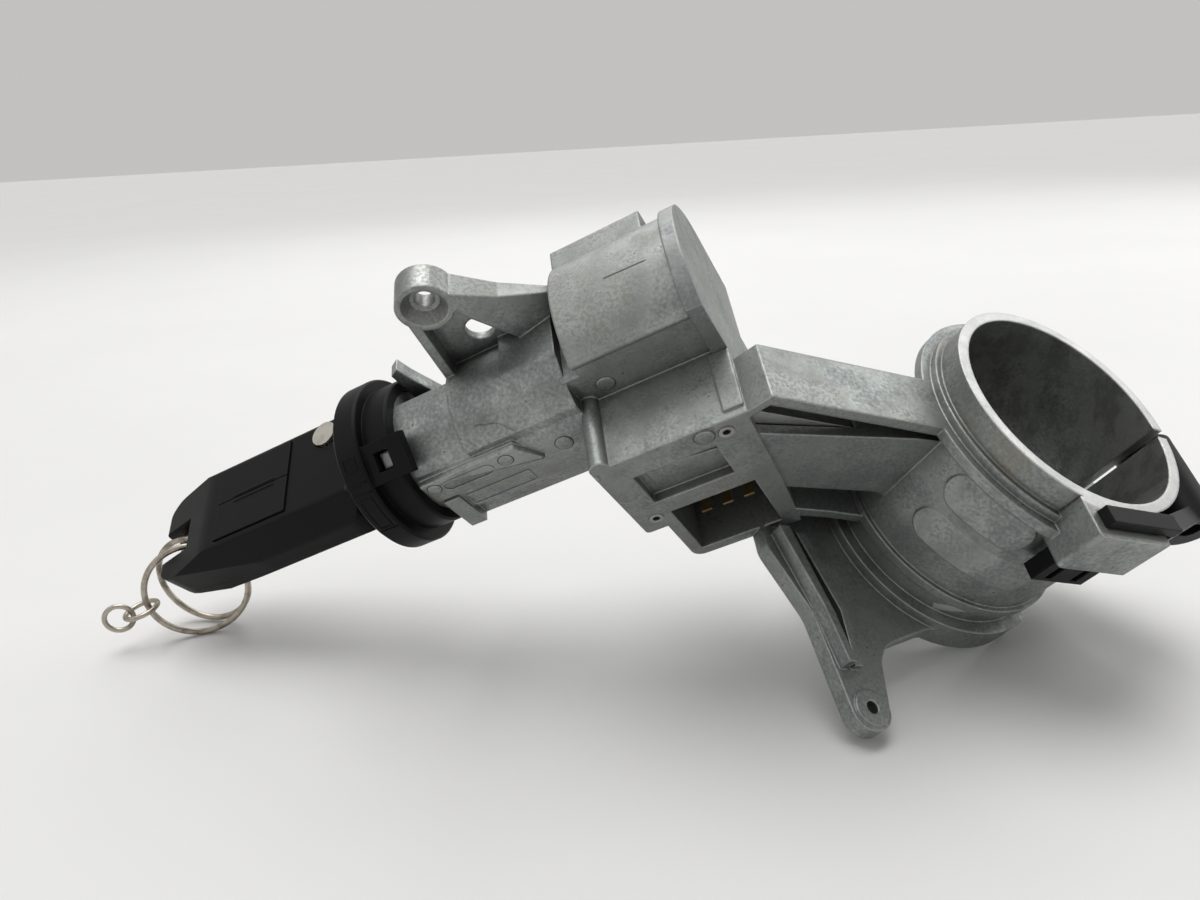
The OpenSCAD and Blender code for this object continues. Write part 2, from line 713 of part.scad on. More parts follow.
// Eye bracket above the barrel: web, rib, gusset to the crown and the eye's boss.
module bracket_solid() {
    rib_x = eye_x - 10.5;
    crown_x = crown_x0 + 0.6;
    prism_y(bracket_back - web_t, bracket_back)
        polygon([[eye_x - 8, barrel_flat_top + 2], [eye_x - 5, eye_z], [eye_x + 7, eye_z - 2],
                 [eye_x + 17, barrel_flat_top + 4], [eye_x + 17, barrel_flat_top]]);
    prism_y(bracket_front, bracket_back)
        polygon([[eye_x - 5, eye_z + 3.9], [rib_x, barrel_flat_top],
                 [rib_x + bracket_rib_w, barrel_flat_top], [eye_x - 5 + bracket_rib_w, eye_z + 3.9]]);
    intersection() {
        prism_y(bracket_front, bracket_back)
            polygon([[eye_x, eye_z + 2], [eye_x + 6.6, eye_z + 0.3], [eye_x + 14, eye_z - 7.6],
                     [crown_x, eye_z - 15.5], [crown_x, barrel_flat_top],
                     [eye_x + 14.5, barrel_flat_top + 3.5], [eye_x + 5, eye_z - 4.4]]);
        prism_z(0, 2 * eye_z)
            polygon([[eye_x - 1, bracket_front], [eye_x + 6, bracket_front],
                     [crown_x + 1, bracket_back - 1.6], [crown_x + 1, bracket_back + 1],
                     [eye_x - 1, bracket_back + 1]]);
    }
    rod_y(bracket_front, bracket_back, eye_r, [eye_x, eye_z]);
}

// Hole through the eye with its cup, and the locating hole in the web.
module bracket_holes() {
    flare = (eye_cup_r - cup_floor_r) / eye_cup_depth;
    rod_y(bracket_front - 1, bracket_back + 1, eye_hole_r, [eye_x, eye_z]);
    translate([eye_x, bracket_front + eye_cup_depth, eye_z]) rotate([90, 0, 0])
        cylinder(r1 = cup_floor_r, r2 = eye_cup_r + flare, h = eye_cup_depth + 1);
    rod_y(bracket_front, bracket_back + 1, web_hole_r, web_hole);
}

// Hollows round the lock axis and the switch.
module lock_hollows() {
    rod_x(barrel_start - 1, sleeve_front + sleeve_l + slide_gap, bore_r);
    rod_x(barrel_start, block_x1 + 1, cavity_r);
    box([neck_x0 - seat_gap, -pocket_back - 1, neck_z0 - seat_gap],
        [block_x1 + 1, neck_back + seat_gap, 0]);
    box([pocket_x0, -front_y - 1, pocket_z0], [pocket_x1, -pocket_back, pocket_z1]);
    box([window_x0, -front_y - 1, window_z0], [window_x1, window_depth - front_y, window_z1]);
    rod_z(-barrel_keel - 1, 0, sleeve_pin_r + seat_gap / 2, [plug_x1 - 8, 0]);
    for (p = pin_places()) rod_y(-front_y - 1, cover_pin_l - front_y, cover_pin_r + seat_gap / 2, p);
    for (p = hollow_pin_places())
        rod_y(-front_y - 1, cover_pin_l - front_y, hollow_pin_r + seat_gap / 2, p);
}

// Pressed pins of the front strip, in X and Z.
function pin_places() = [[window_x1 - 1, panel_z - 2.6]];

// Hollow pins of the front face, in X and Z.
function hollow_pin_places() =
    [[block_x1 - 2.2, panel_z - 3.8], [block_x0 + rib_w, window_z0 - 6]];

// Tongue below the bolt's tail in b and n, grown by gap and swept by travel.
module tongue_outline(gap, travel) {
    b0 = bolt_tail - tongue_l;
    n0 = tongue_n1 - tongue_h;
    link = bolt_tail + 2 + travel + gap;
    polygon([[b0 - gap, n0 - gap], [b0 + finger_w + travel + gap, n0 - gap],
             [link, tongue_n1 - gap], [link, bolt_n], [bolt_tail - gap, bolt_n],
             [bolt_tail - gap, tongue_n1 + gap], [b0 - gap, tongue_n1 + gap]]);
}

// Guide of the bolt and its carriage, and the bore of the clamp.
module column_hollows() {
    half_n = bolt_h / 2 + slide_gap;
    half_y = bolt_t / 2 + slide_gap;
    spring_hole = spring_r + spring_wire_r + slide_gap;
    column_frame() {
        box([bolt_tail - slide_gap, -bolt_y - half_y, bolt_n - half_n],
            [clamp_b, -bolt_y + half_y, bolt_n + half_n]);
        prism_y(-bolt_y - half_y, -bolt_y + half_y) tongue_outline(slide_gap, bolt_stroke);
        box([bolt_tail - tongue_l - slide_gap, -bolt_y, tongue_n1 - tongue_h - slide_gap],
            [bolt_tail - tongue_l + finger_w + bolt_stroke + slide_gap, -cavity_r + 2,
             tongue_n1 - tongue_h + finger_h + slide_gap]);
        translate([bolt_tail - 4, -bolt_y, bolt_n]) rotate([0, 90, 0]) cylinder(r = spring_hole, h = 5);
        rod_z(clamp_n0 - 5, clamp_rim + 5, clamp_r, [clamp_b, -clamp_y]);
        translate([clamp_b, -clamp_y, 0]) rotate(slit_angle)
            box([0, -slit_w / 2, clamp_n0 - 5], [60, slit_w / 2, clamp_rim + 5]);
        translate([clamp_b, -clamp_y, 0]) rotate(slit_angle)
            rod_y(-20, 20, 3.2, [ear_reach, ear_n]);
        box([clip_b - clip_w / 2 - seat_gap, -clip_y - clip_t / 2 - seat_gap, socket_n0 - 1],
            [clip_b + clip_w / 2 + seat_gap, -clip_y + clip_t / 2 + seat_gap, clamp_rim + 1]);
        rod_z(foot_n0 - 5, foot_n1 + 5, foot_hole_r, [foot_b, -foot_y]);
    }
}

// One casting: barrel, block, arm, clamp, foot and eye bracket.
module lock_housing() color(cast_grey) difference() {
    union() {
        barrel_solid();
        block_solid();
        arm_solid();
        clamp_solid();
        foot_solid();
        bracket_solid();
    }
    lock_hollows();
    column_hollows();
    bracket_holes();
}

// Cover over the block's end and the switch neck.
module end_cover() color(cast_grey) {
    prism_x(block_x1, cover_x1) {
        crown_outline(cover_lip);
        translate([-band_y - cover_lip, box_z0])
            square([band_y + cover_lip + box_back, -box_z0 - block_floor + 1]);
    }
}

// Pins pressed into the front face, one solid and two hollow.
module cover_pins() color(steel) {
    for (p = pin_places()) rod_y(-front_y - 0.2, cover_pin_l - front_y - 0.2, cover_pin_r, p);
    for (p = hollow_pin_places()) difference() {
        rod_y(-front_y - 0.2, cover_pin_l - front_y - 0.2, hollow_pin_r, p);
        rod_y(-front_y - 1, cover_pin_l - front_y, hollow_pin_bore, p);
    }
}

// Reader ring with its skirt over the barrel's nose, clip tab and groove for the coil.
module antenna_ring() color(black_plastic) difference() {
    union() {
        rotate([0, 90, 0]) rotate_extrude()
            polygon([[0, 0], [ring_r - ring_edge, 0], [ring_r, ring_edge],
                     [ring_r, ring_band - ring_edge / 2], [ring_r - ring_edge / 2, ring_band],
                     [skirt_r, ring_band], [skirt_r, ring_l - ring_edge / 2],
                     [skirt_r - ring_edge / 2, ring_l], [0, ring_l]]);
        rotate([tab_turn, 0, 0])
            box([ring_band - 1, -tab_w / 2, skirt_r - 1], [tab_x1, tab_w / 2, skirt_r + tab_rise]);
    }
    rotate([tab_turn, 0, 0])
        box([nub_x - nub_gap, -nub_w / 2 - nub_gap, 0],
            [nub_x + nub_l + 2 * nub_gap, nub_w / 2 + nub_gap, 2 * ring_r]);
    rod_x(-1, ring_l, ring_mouth_r);
    rod_x(barrel_start, ring_l + 1, barrel_r + seat_gap);
    difference() {
        rod_x(barrel_start - coil_w - seat_gap, barrel_start + 1, barrel_r);
        rod_x(0, ring_l, barrel_r - coil_h - 2 * seat_gap);
    }
}

// Winding of the reader, one ring of fine wire.
module antenna_coil() color([0.6, 0.3, 0.15]) difference() {
    rod_x(barrel_start - coil_w, barrel_start - seat_gap, barrel_r - seat_gap);
    rod_x(0, ring_l, barrel_r - seat_gap - coil_h);
}

// Sleeve of the lock cylinder, bored for the plug.
module cylinder_sleeve() color(steel) difference() {
    rod_x(sleeve_front, sleeve_front + sleeve_l, sleeve_r);
    rod_x(0, sleeve_front + sleeve_l + 1, plug_r + run_gap);
    rod_z(-sleeve_r - 1, 1 - sleeve_r + 1.5, sleeve_pin_r + seat_gap / 2, [plug_x1 - 8, 0]);
}

// Pin that keeps the sleeve in the barrel.
module sleeve_pin() color(steel)
    rod_z(-barrel_keel, 2.3 - sleeve_r, sleeve_pin_r, [plug_x1 - 8, 0]);

// Window for the blade, in Y and Z, from x0 to x1.
module keyway(x0, x1, gap)
    box([x0, -blade_w / 2 - gap, -blade_t / 2 - gap], [x1, blade_w / 2 + gap, blade_t / 2 + gap]);

// Front of wafer i along the plug.
function wafer_x(i) = sleeve_front + 5 + i * wafer_pitch;

// Turning plug with keyway and wafer slots.
module lock_plug() color(steel) difference() {
    rod_x(plug_x0, plug_x1, plug_r);
    keyway(plug_x0 - 1, plug_x0 + blade_depth + 1, blade_slot);
    for (i = [0:wafers - 1])
        box([wafer_x(i) - seat_gap, -wafer_w / 2 - seat_gap, -wafer_h / 2 - seat_gap],
            [wafer_x(i) + wafer_t + seat_gap, wafer_w / 2 + seat_gap, wafer_h / 2 + seat_gap]);
}

// Wafers lifted level by the blade, each with its window.
module wafer_tumblers() color([0.8, 0.65, 0.3])
    for (i = [0:wafers - 1]) difference() {
        box([wafer_x(i), -wafer_w / 2, -wafer_h / 2], [wafer_x(i) + wafer_t, wafer_w / 2, wafer_h / 2]);
        keyway(0, plug_x1, blade_slot);
    }

// Tail shaft with the locking cam and a flat-sided drive end.
module tail_shaft() color(steel) {
    rod_x(plug_x1, switch_x1 - 2, shaft_r);
    difference() {
        rod_x(cam_x0, cam_x0 + cam_w, cam_r);
        box([cam_x0 - 1, cam_r * 0.55, -cam_r], [cam_x0 + cam_w + 1, cam_r + 1, cam_r]);
    }
}

// Switch cup round the shaft, its neck and the connector base in the pocket.
module switch_body() color(black_plastic) difference() {
    union() {
        rod_x(switch_x0, switch_x1, switch_r);
        box([neck_x0, -pocket_back + seat_gap, neck_z0], [neck_x1, neck_back, -switch_r / 2]);
        box([neck_x0, -pocket_back - connector_t, neck_z0], [pocket_x1 - 1, -pocket_back + 1, pocket_z1 - 1]);
        box([pocket_x0 + seat_gap, -pocket_back - connector_t, pocket_z0 + seat_gap],
            [pocket_x1 - seat_gap, -pocket_back - seat_gap, pocket_z1 - seat_gap]);
    }
    rod_x(switch_x0 - 1, switch_x1 - 1.5, rotor_r + run_gap);
    for (p = terminal_places())
        box([p.x - terminal_w / 2, -pocket_back - connector_t - 1, p.y - 0.4],
            [p.x + terminal_w / 2, -pocket_back - 1, p.y + 0.4]);
}

// Places of the terminal blades, in X and Z.
function terminal_places() =
    [for (i = [0:terminals - 1], j = [-1, 1])
        [(pocket_x0 + pocket_x1) / 2 + (i - (terminals - 1) / 2) * terminal_pitch,
         (pocket_z0 + pocket_z1) / 2 + j * pocket_h / 5]];

// Contact carrier that turns with the shaft.
module switch_rotor() color([0.85, 0.83, 0.78]) difference() {
    rod_x(switch_x0 + 0.5, switch_x1 - 2, rotor_r);
    rod_x(switch_x0, switch_x1, shaft_r + seat_gap);
}

// Terminal blades standing in the pocket.
module switch_terminals() color([0.8, 0.6, 0.25])
    for (p = terminal_places())
        box([p.x - terminal_w / 2 + 0.05, -pocket_back - connector_t - terminal_l, p.y - 0.35],
            [p.x + terminal_w / 2 - 0.05, -pocket_back - 1.1, p.y + 0.35]);

// Steering bolt, withdrawn, with a bevelled nose.
module lock_bolt() color(steel) column_frame()
    prism_z(bolt_n - bolt_h / 2, bolt_n + bolt_h / 2)
        polygon([[carriage_front, -bolt_y - bolt_t / 2], [bolt_tip - 2, -bolt_y - bolt_t / 2],
                 [bolt_tip, -bolt_y - bolt_t / 2 + 2], [bolt_tip, -bolt_y + bolt_t / 2 - 2],
                 [bolt_tip - 2, -bolt_y + bolt_t / 2], [carriage_front, -bolt_y + bolt_t / 2]]);

// Carriage at the bolt's tail, with the finger that the cam holds back.
module bolt_carriage() color(cast_grey) column_frame() difference() {
    union() {
        box([bolt_tail, -bolt_y - bolt_t / 2, bolt_n - bolt_h / 2],
            [carriage_front, -bolt_y + bolt_t / 2, bolt_n + bolt_h / 2]);
        prism_y(-bolt_y - bolt_t / 2, -bolt_y + bolt_t / 2) tongue_outline(0, 0);
        box([bolt_tail - tongue_l, -bolt_y, tongue_n1 - tongue_h],
            [bolt_tail - tongue_l + finger_w, -finger_y, tongue_n1 - tongue_h + finger_h]);
    }
    translate([bolt_tail - 1, -bolt_y, bolt_n]) rotate([0, 90, 0])
        cylinder(r = spring_r + spring_wire_r + slide_gap, h = carriage_l - 1);
}

// Spring that pushes the bolt out when the key leaves.
module bolt_spring() color(steel) column_frame()
    translate([bolt_tail - 4 + seat_gap, -bolt_y, bolt_n]) rotate([0, 90, 0])
        coil(spring_r, spring_wire_r, carriage_l + 1.6, 6);

// Plastic clip: tongue in the clamp's socket, arm and guide eye.
module column_clip() color(black_plastic) column_frame() difference() {
    arm_at = [clip_b + clip_w / 2 + socket_wall + 1.2, -clip_y];
    reach = [guide_b - 4, 1 - guide_y] - arm_at;
    union() {
        box([clip_b - clip_w / 2, -clip_y - clip_t / 2, socket_n0 - 9],
            [clip_b + clip_w / 2, -clip_y + clip_t / 2, clamp_rim + clip_rise]);
        box([clip_b - clip_w / 2, -clip_y - clip_t / 2, clamp_rim + seat_gap],
            [arm_at.x + 1, -clip_y + clip_t / 2, clamp_rim + clip_rise]);
        translate([arm_at.x, arm_at.y, 0]) rotate([0, 0, atan2(reach.y, reach.x)])
            prism_y(-clip_t / 2, clip_t / 2)
                polygon([[0.5, socket_n0 + 2], [0.5, clamp_rim + clip_rise],
                         [norm(reach), guide_n + guide_r - 1.5], [norm(reach), guide_n - 3]]);
        rod_y(-guide_y, guide_l - guide_y, guide_r, [guide_b, guide_n]);
    }
    rod_y(-guide_y - 5, guide_l - guide_y + 5, guide_hole_r, [guide_b, guide_n]);
    for (side = [-1, 1])
        box([clip_b + side * clip_w / 4 - 1, -clip_y - clip_t, socket_n0 - 8],
            [clip_b + side * clip_w / 4 + 1, -clip_y + clip_t, socket_n0 - 3]);
}

// Blade with its cranked head round the pivot.
module key_blade() color(steel) difference() {
    prism_z(-blade_t / 2, blade_t / 2) {
        translate([pivot_x, pivot_y]) circle(head_r);
        polygon([[pivot_x - head_r, pivot_y], [pivot_x - head_r, 3 - blade_w / 2],
                 [pivot_x - head_r + 3, -blade_w / 2], [blade_tip - 3, -blade_w / 2],
                 [blade_tip, -1], [blade_tip, 1], [blade_tip - 3, blade_w / 2],
                 [pivot_x + head_r + 1, blade_w / 2], [pivot_x + head_r, blade_w / 2 + 1],
                 [pivot_x + head_r, pivot_y]]);
    }
    rod_z(-blade_t, blade_t, pivot_r + seat_gap / 2, [pivot_x, pivot_y]);
    for (side = [-1, 1])
        box([fob_x1 + 8, side * 1.6 - 0.6, blade_t / 2 - 0.5], [blade_tip + 1, side * 1.6 + 0.6, blade_t]);
}

// Drum on which the blade turns in the remote.
module blade_pivot() color(steel) rod_z(pivot_z0, pivot_z1, pivot_r, [pivot_x, pivot_y]);

// Remote's outline from above, in X and Y.
module fob_outline()
    polygon(rounded([[fob_x1, fob_y0, 5], [fob_x1, fob_y1, 7], [pivot_x - 14, fob_y1, 30],
                     [fob_x0, fob_offset + fob_tail_w / 2, 8], [fob_x0, fob_offset - fob_tail_w / 2, 8],
                     [fob_x0 + 36, fob_y0, 30]]));

// Remote's solid shape with its bevels.
module fob_body() intersection() {
    prism_z(-fob_t, fob_t) fob_outline();
    prism_x(fob_x0 - 1, fob_x1 + 1)
        polygon(rounded([[fob_y0 + 6, half_t, 2], [fob_y1 - 3.5, half_t, 2], [fob_y1, half_t - 4, 2],
                         [fob_y1, 4 - half_t, 2], [fob_y1 - 4, -half_t, 2], [fob_y0 + 4, -half_t, 2],
                         [fob_y0, 4 - half_t, 2], [fob_y0, 2, 2]]));
    prism_y(fob_y0 - 1, fob_y1 + 1)
        polygon(rounded([[fob_x1, half_t - 1.5, 1], [fob_x1 - 2, half_t, 1], [fob_x0 + 20, half_t, 20],
                         [fob_x0, half_t / 2, 2], [fob_x0, -half_t / 2, 2], [fob_x0 + 26, -half_t, 20],
                         [fob_x1 - 2, -half_t, 1], [fob_x1, 1.5 - half_t, 1]]));
}

// Room inside the remote, the blade's sweep, the pivot and the tail's notch.
module fob_hollows() {
    box([cavity_x0, cavity_y0, fob_wall - half_t], [cavity_x1, cavity_y1, half_t - fob_wall]);
    rod_z(-blade_t / 2 - slide_gap, blade_t / 2 + slide_gap, sweep_r, [pivot_x, pivot_y]);
    rod_z(pivot_z0 - seat_gap, pivot_z1 + seat_gap, pivot_r + run_gap, [pivot_x, pivot_y]);
    rod_z(fob_wall - half_t, 0, pivot_r - 0.8, [pivot_x, pivot_y]);
    rod_z(0, fob_t, release_r + slide_gap, [pivot_x, pivot_y]);
    box([button_x1 - button_l - button_gap, button_split - button_w - 1.5 * button_gap, 0],
        [button_x1 + button_gap, button_split + button_w + 1.5 * button_gap, fob_t]);
    box([fob_x0 - 1, fob_offset - bar_l / 2, -fob_t], [notch_x1, fob_offset + notch_back, 3]);
    box([fob_x0 - 1, fob_offset - bar_l / 2, 0], [notch_x1 - 3.4, fob_offset + notch_back, fob_t]);
    box([fob_x0 - 1, fob_offset - bar_l / 2 - 3.5, -fob_t],
        [notch_x1 + 1, fob_offset + notch_back, -0.5]);
    bar_rod(bar_r + seat_gap / 2, 2.1);
}

// Bar across the tail, let into both sides by depth.
module bar_rod(r, depth)
    rod_y(fob_offset - bar_l / 2 - depth, fob_offset + bar_l / 2 + depth, r, [bar_x, 0]);

// Half space above or below the parting line.
module parted(z0, z1) box([fob_x0 - 5, fob_y0 - 5, z0], [fob_x1 + 5, fob_y1 + 5, z1]);

// Remote's upper shell with button openings.
module fob_upper_shell() color(black_plastic) difference() {
    intersection() {
        fob_body();
        parted(parting_z, fob_t);
    }
    fob_hollows();
}

// Remote's lower shell.
module fob_lower_shell() color(black_plastic) difference() {
    intersection() {
        fob_body();
        parted(-fob_t, parting_z);
    }
    fob_hollows();
}

// Button pad from y0 to y1, with a flange under the shell at both ends.
module pad(y0, y1) {
    low = half_t - fob_wall - 1;
    box([button_x1 - button_l, y0, low], [button_x1, y1, half_t + press_stroke / 2]);
    box([button_x1 - button_l - 1.2, y0, low], [button_x1 + 1.2, y1, low + 0.8]);
}

// Front button of the remote.
module lock_button() color(black_plastic)
    pad(button_split - button_gap / 2 - button_w, button_split - button_gap / 2);

// Rear button of the remote.
module unlock_button() color(black_plastic)
    pad(button_split + button_gap / 2, button_split + button_gap / 2 + button_w);

// Bright button that frees the blade.
module release_button() color([0.85, 0.85, 0.83])
    rod_z(pivot_z1 + release_stroke + slide_gap, half_t + 1, release_r, [pivot_x, pivot_y]);

// Circuit board across the parting line.
module circuit_board() color([0.05, 0.3, 0.15])
    box([cavity_x0 + slide_gap, cavity_y0 + slide_gap, parting_z + 0.5],
        [cavity_x1 - slide_gap, cavity_y1 - slide_gap, parting_z + 0.5 + board_t]);

// Coin cell under the board.
module coin_cell() color(steel)
    rod_z(fob_wall - half_t + seat_gap, fob_wall - half_t + seat_gap + cell_h, cell_r,
          [cavity_x0 + cell_r + 3, fob_offset]);

// Transponder block on the board.
module transponder() color([0.1, 0.1, 0.1])
    box([cavity_x1 - 12, cavity_y0 + 2, parting_z + 0.5 + board_t + seat_gap],
        [cavity_x1 - 1, cavity_y0 + 7, parting_z + 3.5 + board_t]);

// Spring that throws the blade out, under the pivot.
module flip_spring() color(steel)
    translate([pivot_x, pivot_y, fob_wall - half_t + seat_gap])
        coil(pivot_r - 1.6, flip_wire_r, pivot_z0 - fob_wall + half_t - 3 * seat_gap, flip_turns);

// Steel bar across the remote's tail.
module tail_bar() color(steel) bar_rod(bar_r, 2);

// Frame of the split ring: X towards its hinge end, Z its normal.
module ring_frame()
    translate([bar_x, fob_offset, 0]) rotate(ring_turn) translate([0, -ring_hang, 0]) children();

// Frame of the ring's opened turn.
module opened_turn()
    translate([split_r, 0, 0]) rotate([0, split_open, 0]) translate([-split_r, 0, 0]) children();

// Split ring through the tail, its second turn sprung open.
module split_ring() color(steel) ring_frame() {
    wire_turn();
    opened_turn() wire_turn();
    rod_y(-2.8, 2.8, split_wire_r + 0.25, [split_r * cos(10), 0]);
}

// One turn of the split ring, open at its hinge end.
module wire_turn()
    rotate(10) rotate_extrude(angle = 340) translate([split_r, 0]) circle(split_wire_r, $fn = 24);

// Small ring on the opened turn.
module small_ring_a() color(steel) ring_frame() opened_turn()
    translate([-split_r - 2, 0, 0]) rotate([90, 0, 0]) wire_ring(small_r, small_wire_r);

// Second small ring linked to the first.
module small_ring_b() color(steel) ring_frame() opened_turn()
    translate([-split_r - 3.8 - small_r, 0, 0]) wire_ring(small_r - 0.7, small_wire_r);

laid() lock_housing();
laid() end_cover();
laid() cover_pins();
laid() antenna_ring();
laid() antenna_coil();
laid() cylinder_sleeve();
laid() sleeve_pin();
laid() lock_plug();
laid() wafer_tumblers();
laid() tail_shaft();
laid() switch_body();
laid() switch_rotor();
laid() switch_terminals();
laid() lock_bolt();
laid() bolt_carriage();
laid() bolt_spring();
laid() column_clip();
laid() key_blade();
laid() blade_pivot();
laid() fob_upper_shell();
laid() fob_lower_shell();
laid() lock_button();
laid() unlock_button();
laid() release_button();
laid() circuit_board();
laid() coin_cell();
laid() transponder();
laid() flip_spring();
laid() tail_bar();
laid() split_ring();
laid() small_ring_a();
laid() small_ring_b();
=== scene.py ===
"""Ignition lock with steering-lock housing, column clamp and folding remote key."""
from __future__ import annotations

import json
import logging
import math
from dataclasses import dataclass
from enum import Enum
from typing import Any, Callable, Sequence, Union

import bpy
from mathutils import Euler, Matrix, Vector

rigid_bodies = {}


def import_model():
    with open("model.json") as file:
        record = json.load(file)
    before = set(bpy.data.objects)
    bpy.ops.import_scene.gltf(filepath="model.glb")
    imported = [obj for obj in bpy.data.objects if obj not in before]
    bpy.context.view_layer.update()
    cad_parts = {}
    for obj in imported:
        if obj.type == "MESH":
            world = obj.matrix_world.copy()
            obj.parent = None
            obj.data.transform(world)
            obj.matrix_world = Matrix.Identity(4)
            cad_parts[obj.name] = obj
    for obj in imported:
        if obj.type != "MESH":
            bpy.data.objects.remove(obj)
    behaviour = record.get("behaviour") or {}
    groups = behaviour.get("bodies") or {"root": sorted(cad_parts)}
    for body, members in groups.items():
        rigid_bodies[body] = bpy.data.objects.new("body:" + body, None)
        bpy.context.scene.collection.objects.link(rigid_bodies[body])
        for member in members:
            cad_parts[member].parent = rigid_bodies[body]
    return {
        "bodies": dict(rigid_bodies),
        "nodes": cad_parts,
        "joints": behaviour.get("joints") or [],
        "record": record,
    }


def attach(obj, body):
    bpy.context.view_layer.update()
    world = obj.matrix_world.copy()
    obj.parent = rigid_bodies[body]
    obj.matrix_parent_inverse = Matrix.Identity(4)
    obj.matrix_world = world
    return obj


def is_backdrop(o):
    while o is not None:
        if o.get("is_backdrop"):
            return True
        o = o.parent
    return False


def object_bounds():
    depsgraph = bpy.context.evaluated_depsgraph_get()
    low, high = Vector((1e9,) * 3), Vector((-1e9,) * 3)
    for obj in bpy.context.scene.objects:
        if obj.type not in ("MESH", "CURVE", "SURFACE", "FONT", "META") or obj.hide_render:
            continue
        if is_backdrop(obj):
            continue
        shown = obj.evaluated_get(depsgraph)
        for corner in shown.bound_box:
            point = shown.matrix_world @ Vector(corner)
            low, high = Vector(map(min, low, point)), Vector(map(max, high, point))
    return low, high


LOG = logging.getLogger("ignition_lock")
MM = 0.001
Number = Union[int, float]
Triple = Sequence[float]


class Side(Enum):
    """Which frame a piece is drawn in."""

    LOCK = "lock"
    COLUMN = "column"


class Body(Enum):
    """Body of the frame that a piece rides on."""

    HOUSING = "housing"
    LOCK_PAD = "lock_pad"
    UNLOCK_PAD = "unlock_pad"


class Wear(Enum):
    """How a mark on the casting looks."""

    DARK = "dark"
    BRIGHT = "bright"


@dataclass(frozen=True)
class Lay:
    """Turns the lock's own frame, in millimetres, into the row frame, in metres."""

    turn: tuple[float, float, float] = (36.0, -23.1, -9.7)
    column_angle: float = 41.0
    clamp: tuple[float, float, float] = (138.1, -23.6, 59.2)

    def spin(self) -> Matrix:
        """Rotation from the lock's frame to the row frame."""
        return Euler([math.radians(a) for a in self.turn], "XYZ").to_matrix()

    def column(self) -> Matrix:
        """Rotation from the column's frame to the lock's frame."""
        return Matrix.Rotation(math.radians(90 - self.column_angle), 3, "Y")

    def place(self, side: Side = Side.LOCK) -> Matrix:
        """Whole placing matrix of a frame.

        Args:
            side: the frame that the numbers are written in.

        Returns:
            A 4x4 matrix from millimetres there to metres in the row frame.
        """
        centre = self.column() @ Vector(self.clamp)
        move = Matrix.Translation(-centre)
        inner = self.column().to_4x4() if side is Side.COLUMN else Matrix.Identity(4)
        return Matrix.Scale(MM, 4) @ self.spin().to_4x4() @ move @ inner

    def point(self, p: Triple, side: Side = Side.LOCK) -> Vector:
        """A point of the given frame in the row frame."""
        return self.place(side) @ Vector(p)

    def axis(self, d: Triple, side: Side = Side.LOCK) -> Vector:
        """A direction of the given frame in the row frame."""
        return (self.place(side).to_3x3() @ Vector(d)).normalized()


LAY = Lay()


class Sock:
    """A shader socket that takes part in Python expressions."""

    def __init__(self, tree: "Graph", socket: Any) -> None:
        """Keeps the tree and the socket."""
        self.tree = tree
        self.socket = socket

    def _math(self, operation: str, *values: Union["Sock", Number]) -> "Sock":
        """Adds one Math node."""
        return self.tree.node("ShaderNodeMath", {"operation": operation}, dict(enumerate(values)))

    def __add__(self, other: Union["Sock", Number]) -> "Sock":
        """Sum."""
        return self._math("ADD", self, other)

    __radd__ = __add__

    def __sub__(self, other: Union["Sock", Number]) -> "Sock":
        """Difference."""
        return self._math("SUBTRACT", self, other)

    def __rsub__(self, other: Number) -> "Sock":
        """Difference from a number."""
        return self._math("SUBTRACT", other, self)

    def __mul__(self, other: Union["Sock", Number]) -> "Sock":
        """Product."""
        return self._math("MULTIPLY", self, other)

    __rmul__ = __mul__

    def __truediv__(self, other: Union["Sock", Number]) -> "Sock":
        """Quotient."""
        return self._math("DIVIDE", self, other)

    def __rtruediv__(self, other: Number) -> "Sock":
        """Quotient of a number."""
        return self._math("DIVIDE", other, self)

    def most(self, other: Union["Sock", Number]) -> "Sock":
        """The larger of two values."""
        return self._math("MAXIMUM", self, other)

    def step(self, low: float, high: float) -> "Sock":
        """Smooth rise from 0 at low to 1 at high."""
        return self.tree.node(
            "ShaderNodeMapRange",
            {"interpolation_type": "SMOOTHSTEP"},
            {"Value": self, "From Min": low, "From Max": high, "To Min": 0.0, "To Max": 1.0},
        )


class Graph:
    """Node tree whose nodes all come through one method."""

    def __init__(self, tree: bpy.types.NodeTree) -> None:
        """Keeps the tree's nodes and links."""
        self.nodes = tree.nodes
        self.links = tree.links

    def node(self, kind: str, settings: dict[str, Any], inputs: dict[Any, Any], out: Any = 0) -> Sock:
        """Adds a node, sets it and links it.

        Args:
            kind: the node's type.
            settings: properties set first; "stops" holds a ramp's colours.
            inputs: values or sockets by input name or number.
            out: name or number of the output wanted.

        Returns:
            The output as a Sock.
        """
        made = self.nodes.new(kind)
        for key, value in settings.items():
            if key == "stops":
                ramp = made.color_ramp
                while len(ramp.elements) < len(value):
                    ramp.elements.new(0.5)
                for element, (place, colour) in zip(ramp.elements, value):
                    element.position = place
                    element.color = colour
            else:
                setattr(made, key, value)
        for key, value in inputs.items():
            self.feed(made.inputs[key], value)
        return Sock(self, made.outputs[out])

    def feed(self, target: Any, value: Any) -> None:
        """Links or sets one input."""
        if isinstance(value, Sock):
            self.links.new(value.socket, target)
        else:
            target.default_value = value

    def mix(self, share: Union[Sock, float], low: Any, high: Any) -> Sock:
        """Mix of two colours.

        Args:
            share: 0 gives low and 1 gives high.
            low: colour or socket.
            high: colour or socket.

        Returns:
            The mixed colour.
        """
        return self.node("ShaderNodeMix", {"data_type": "RGBA"}, {0: share, 6: low, 7: high}, 2)


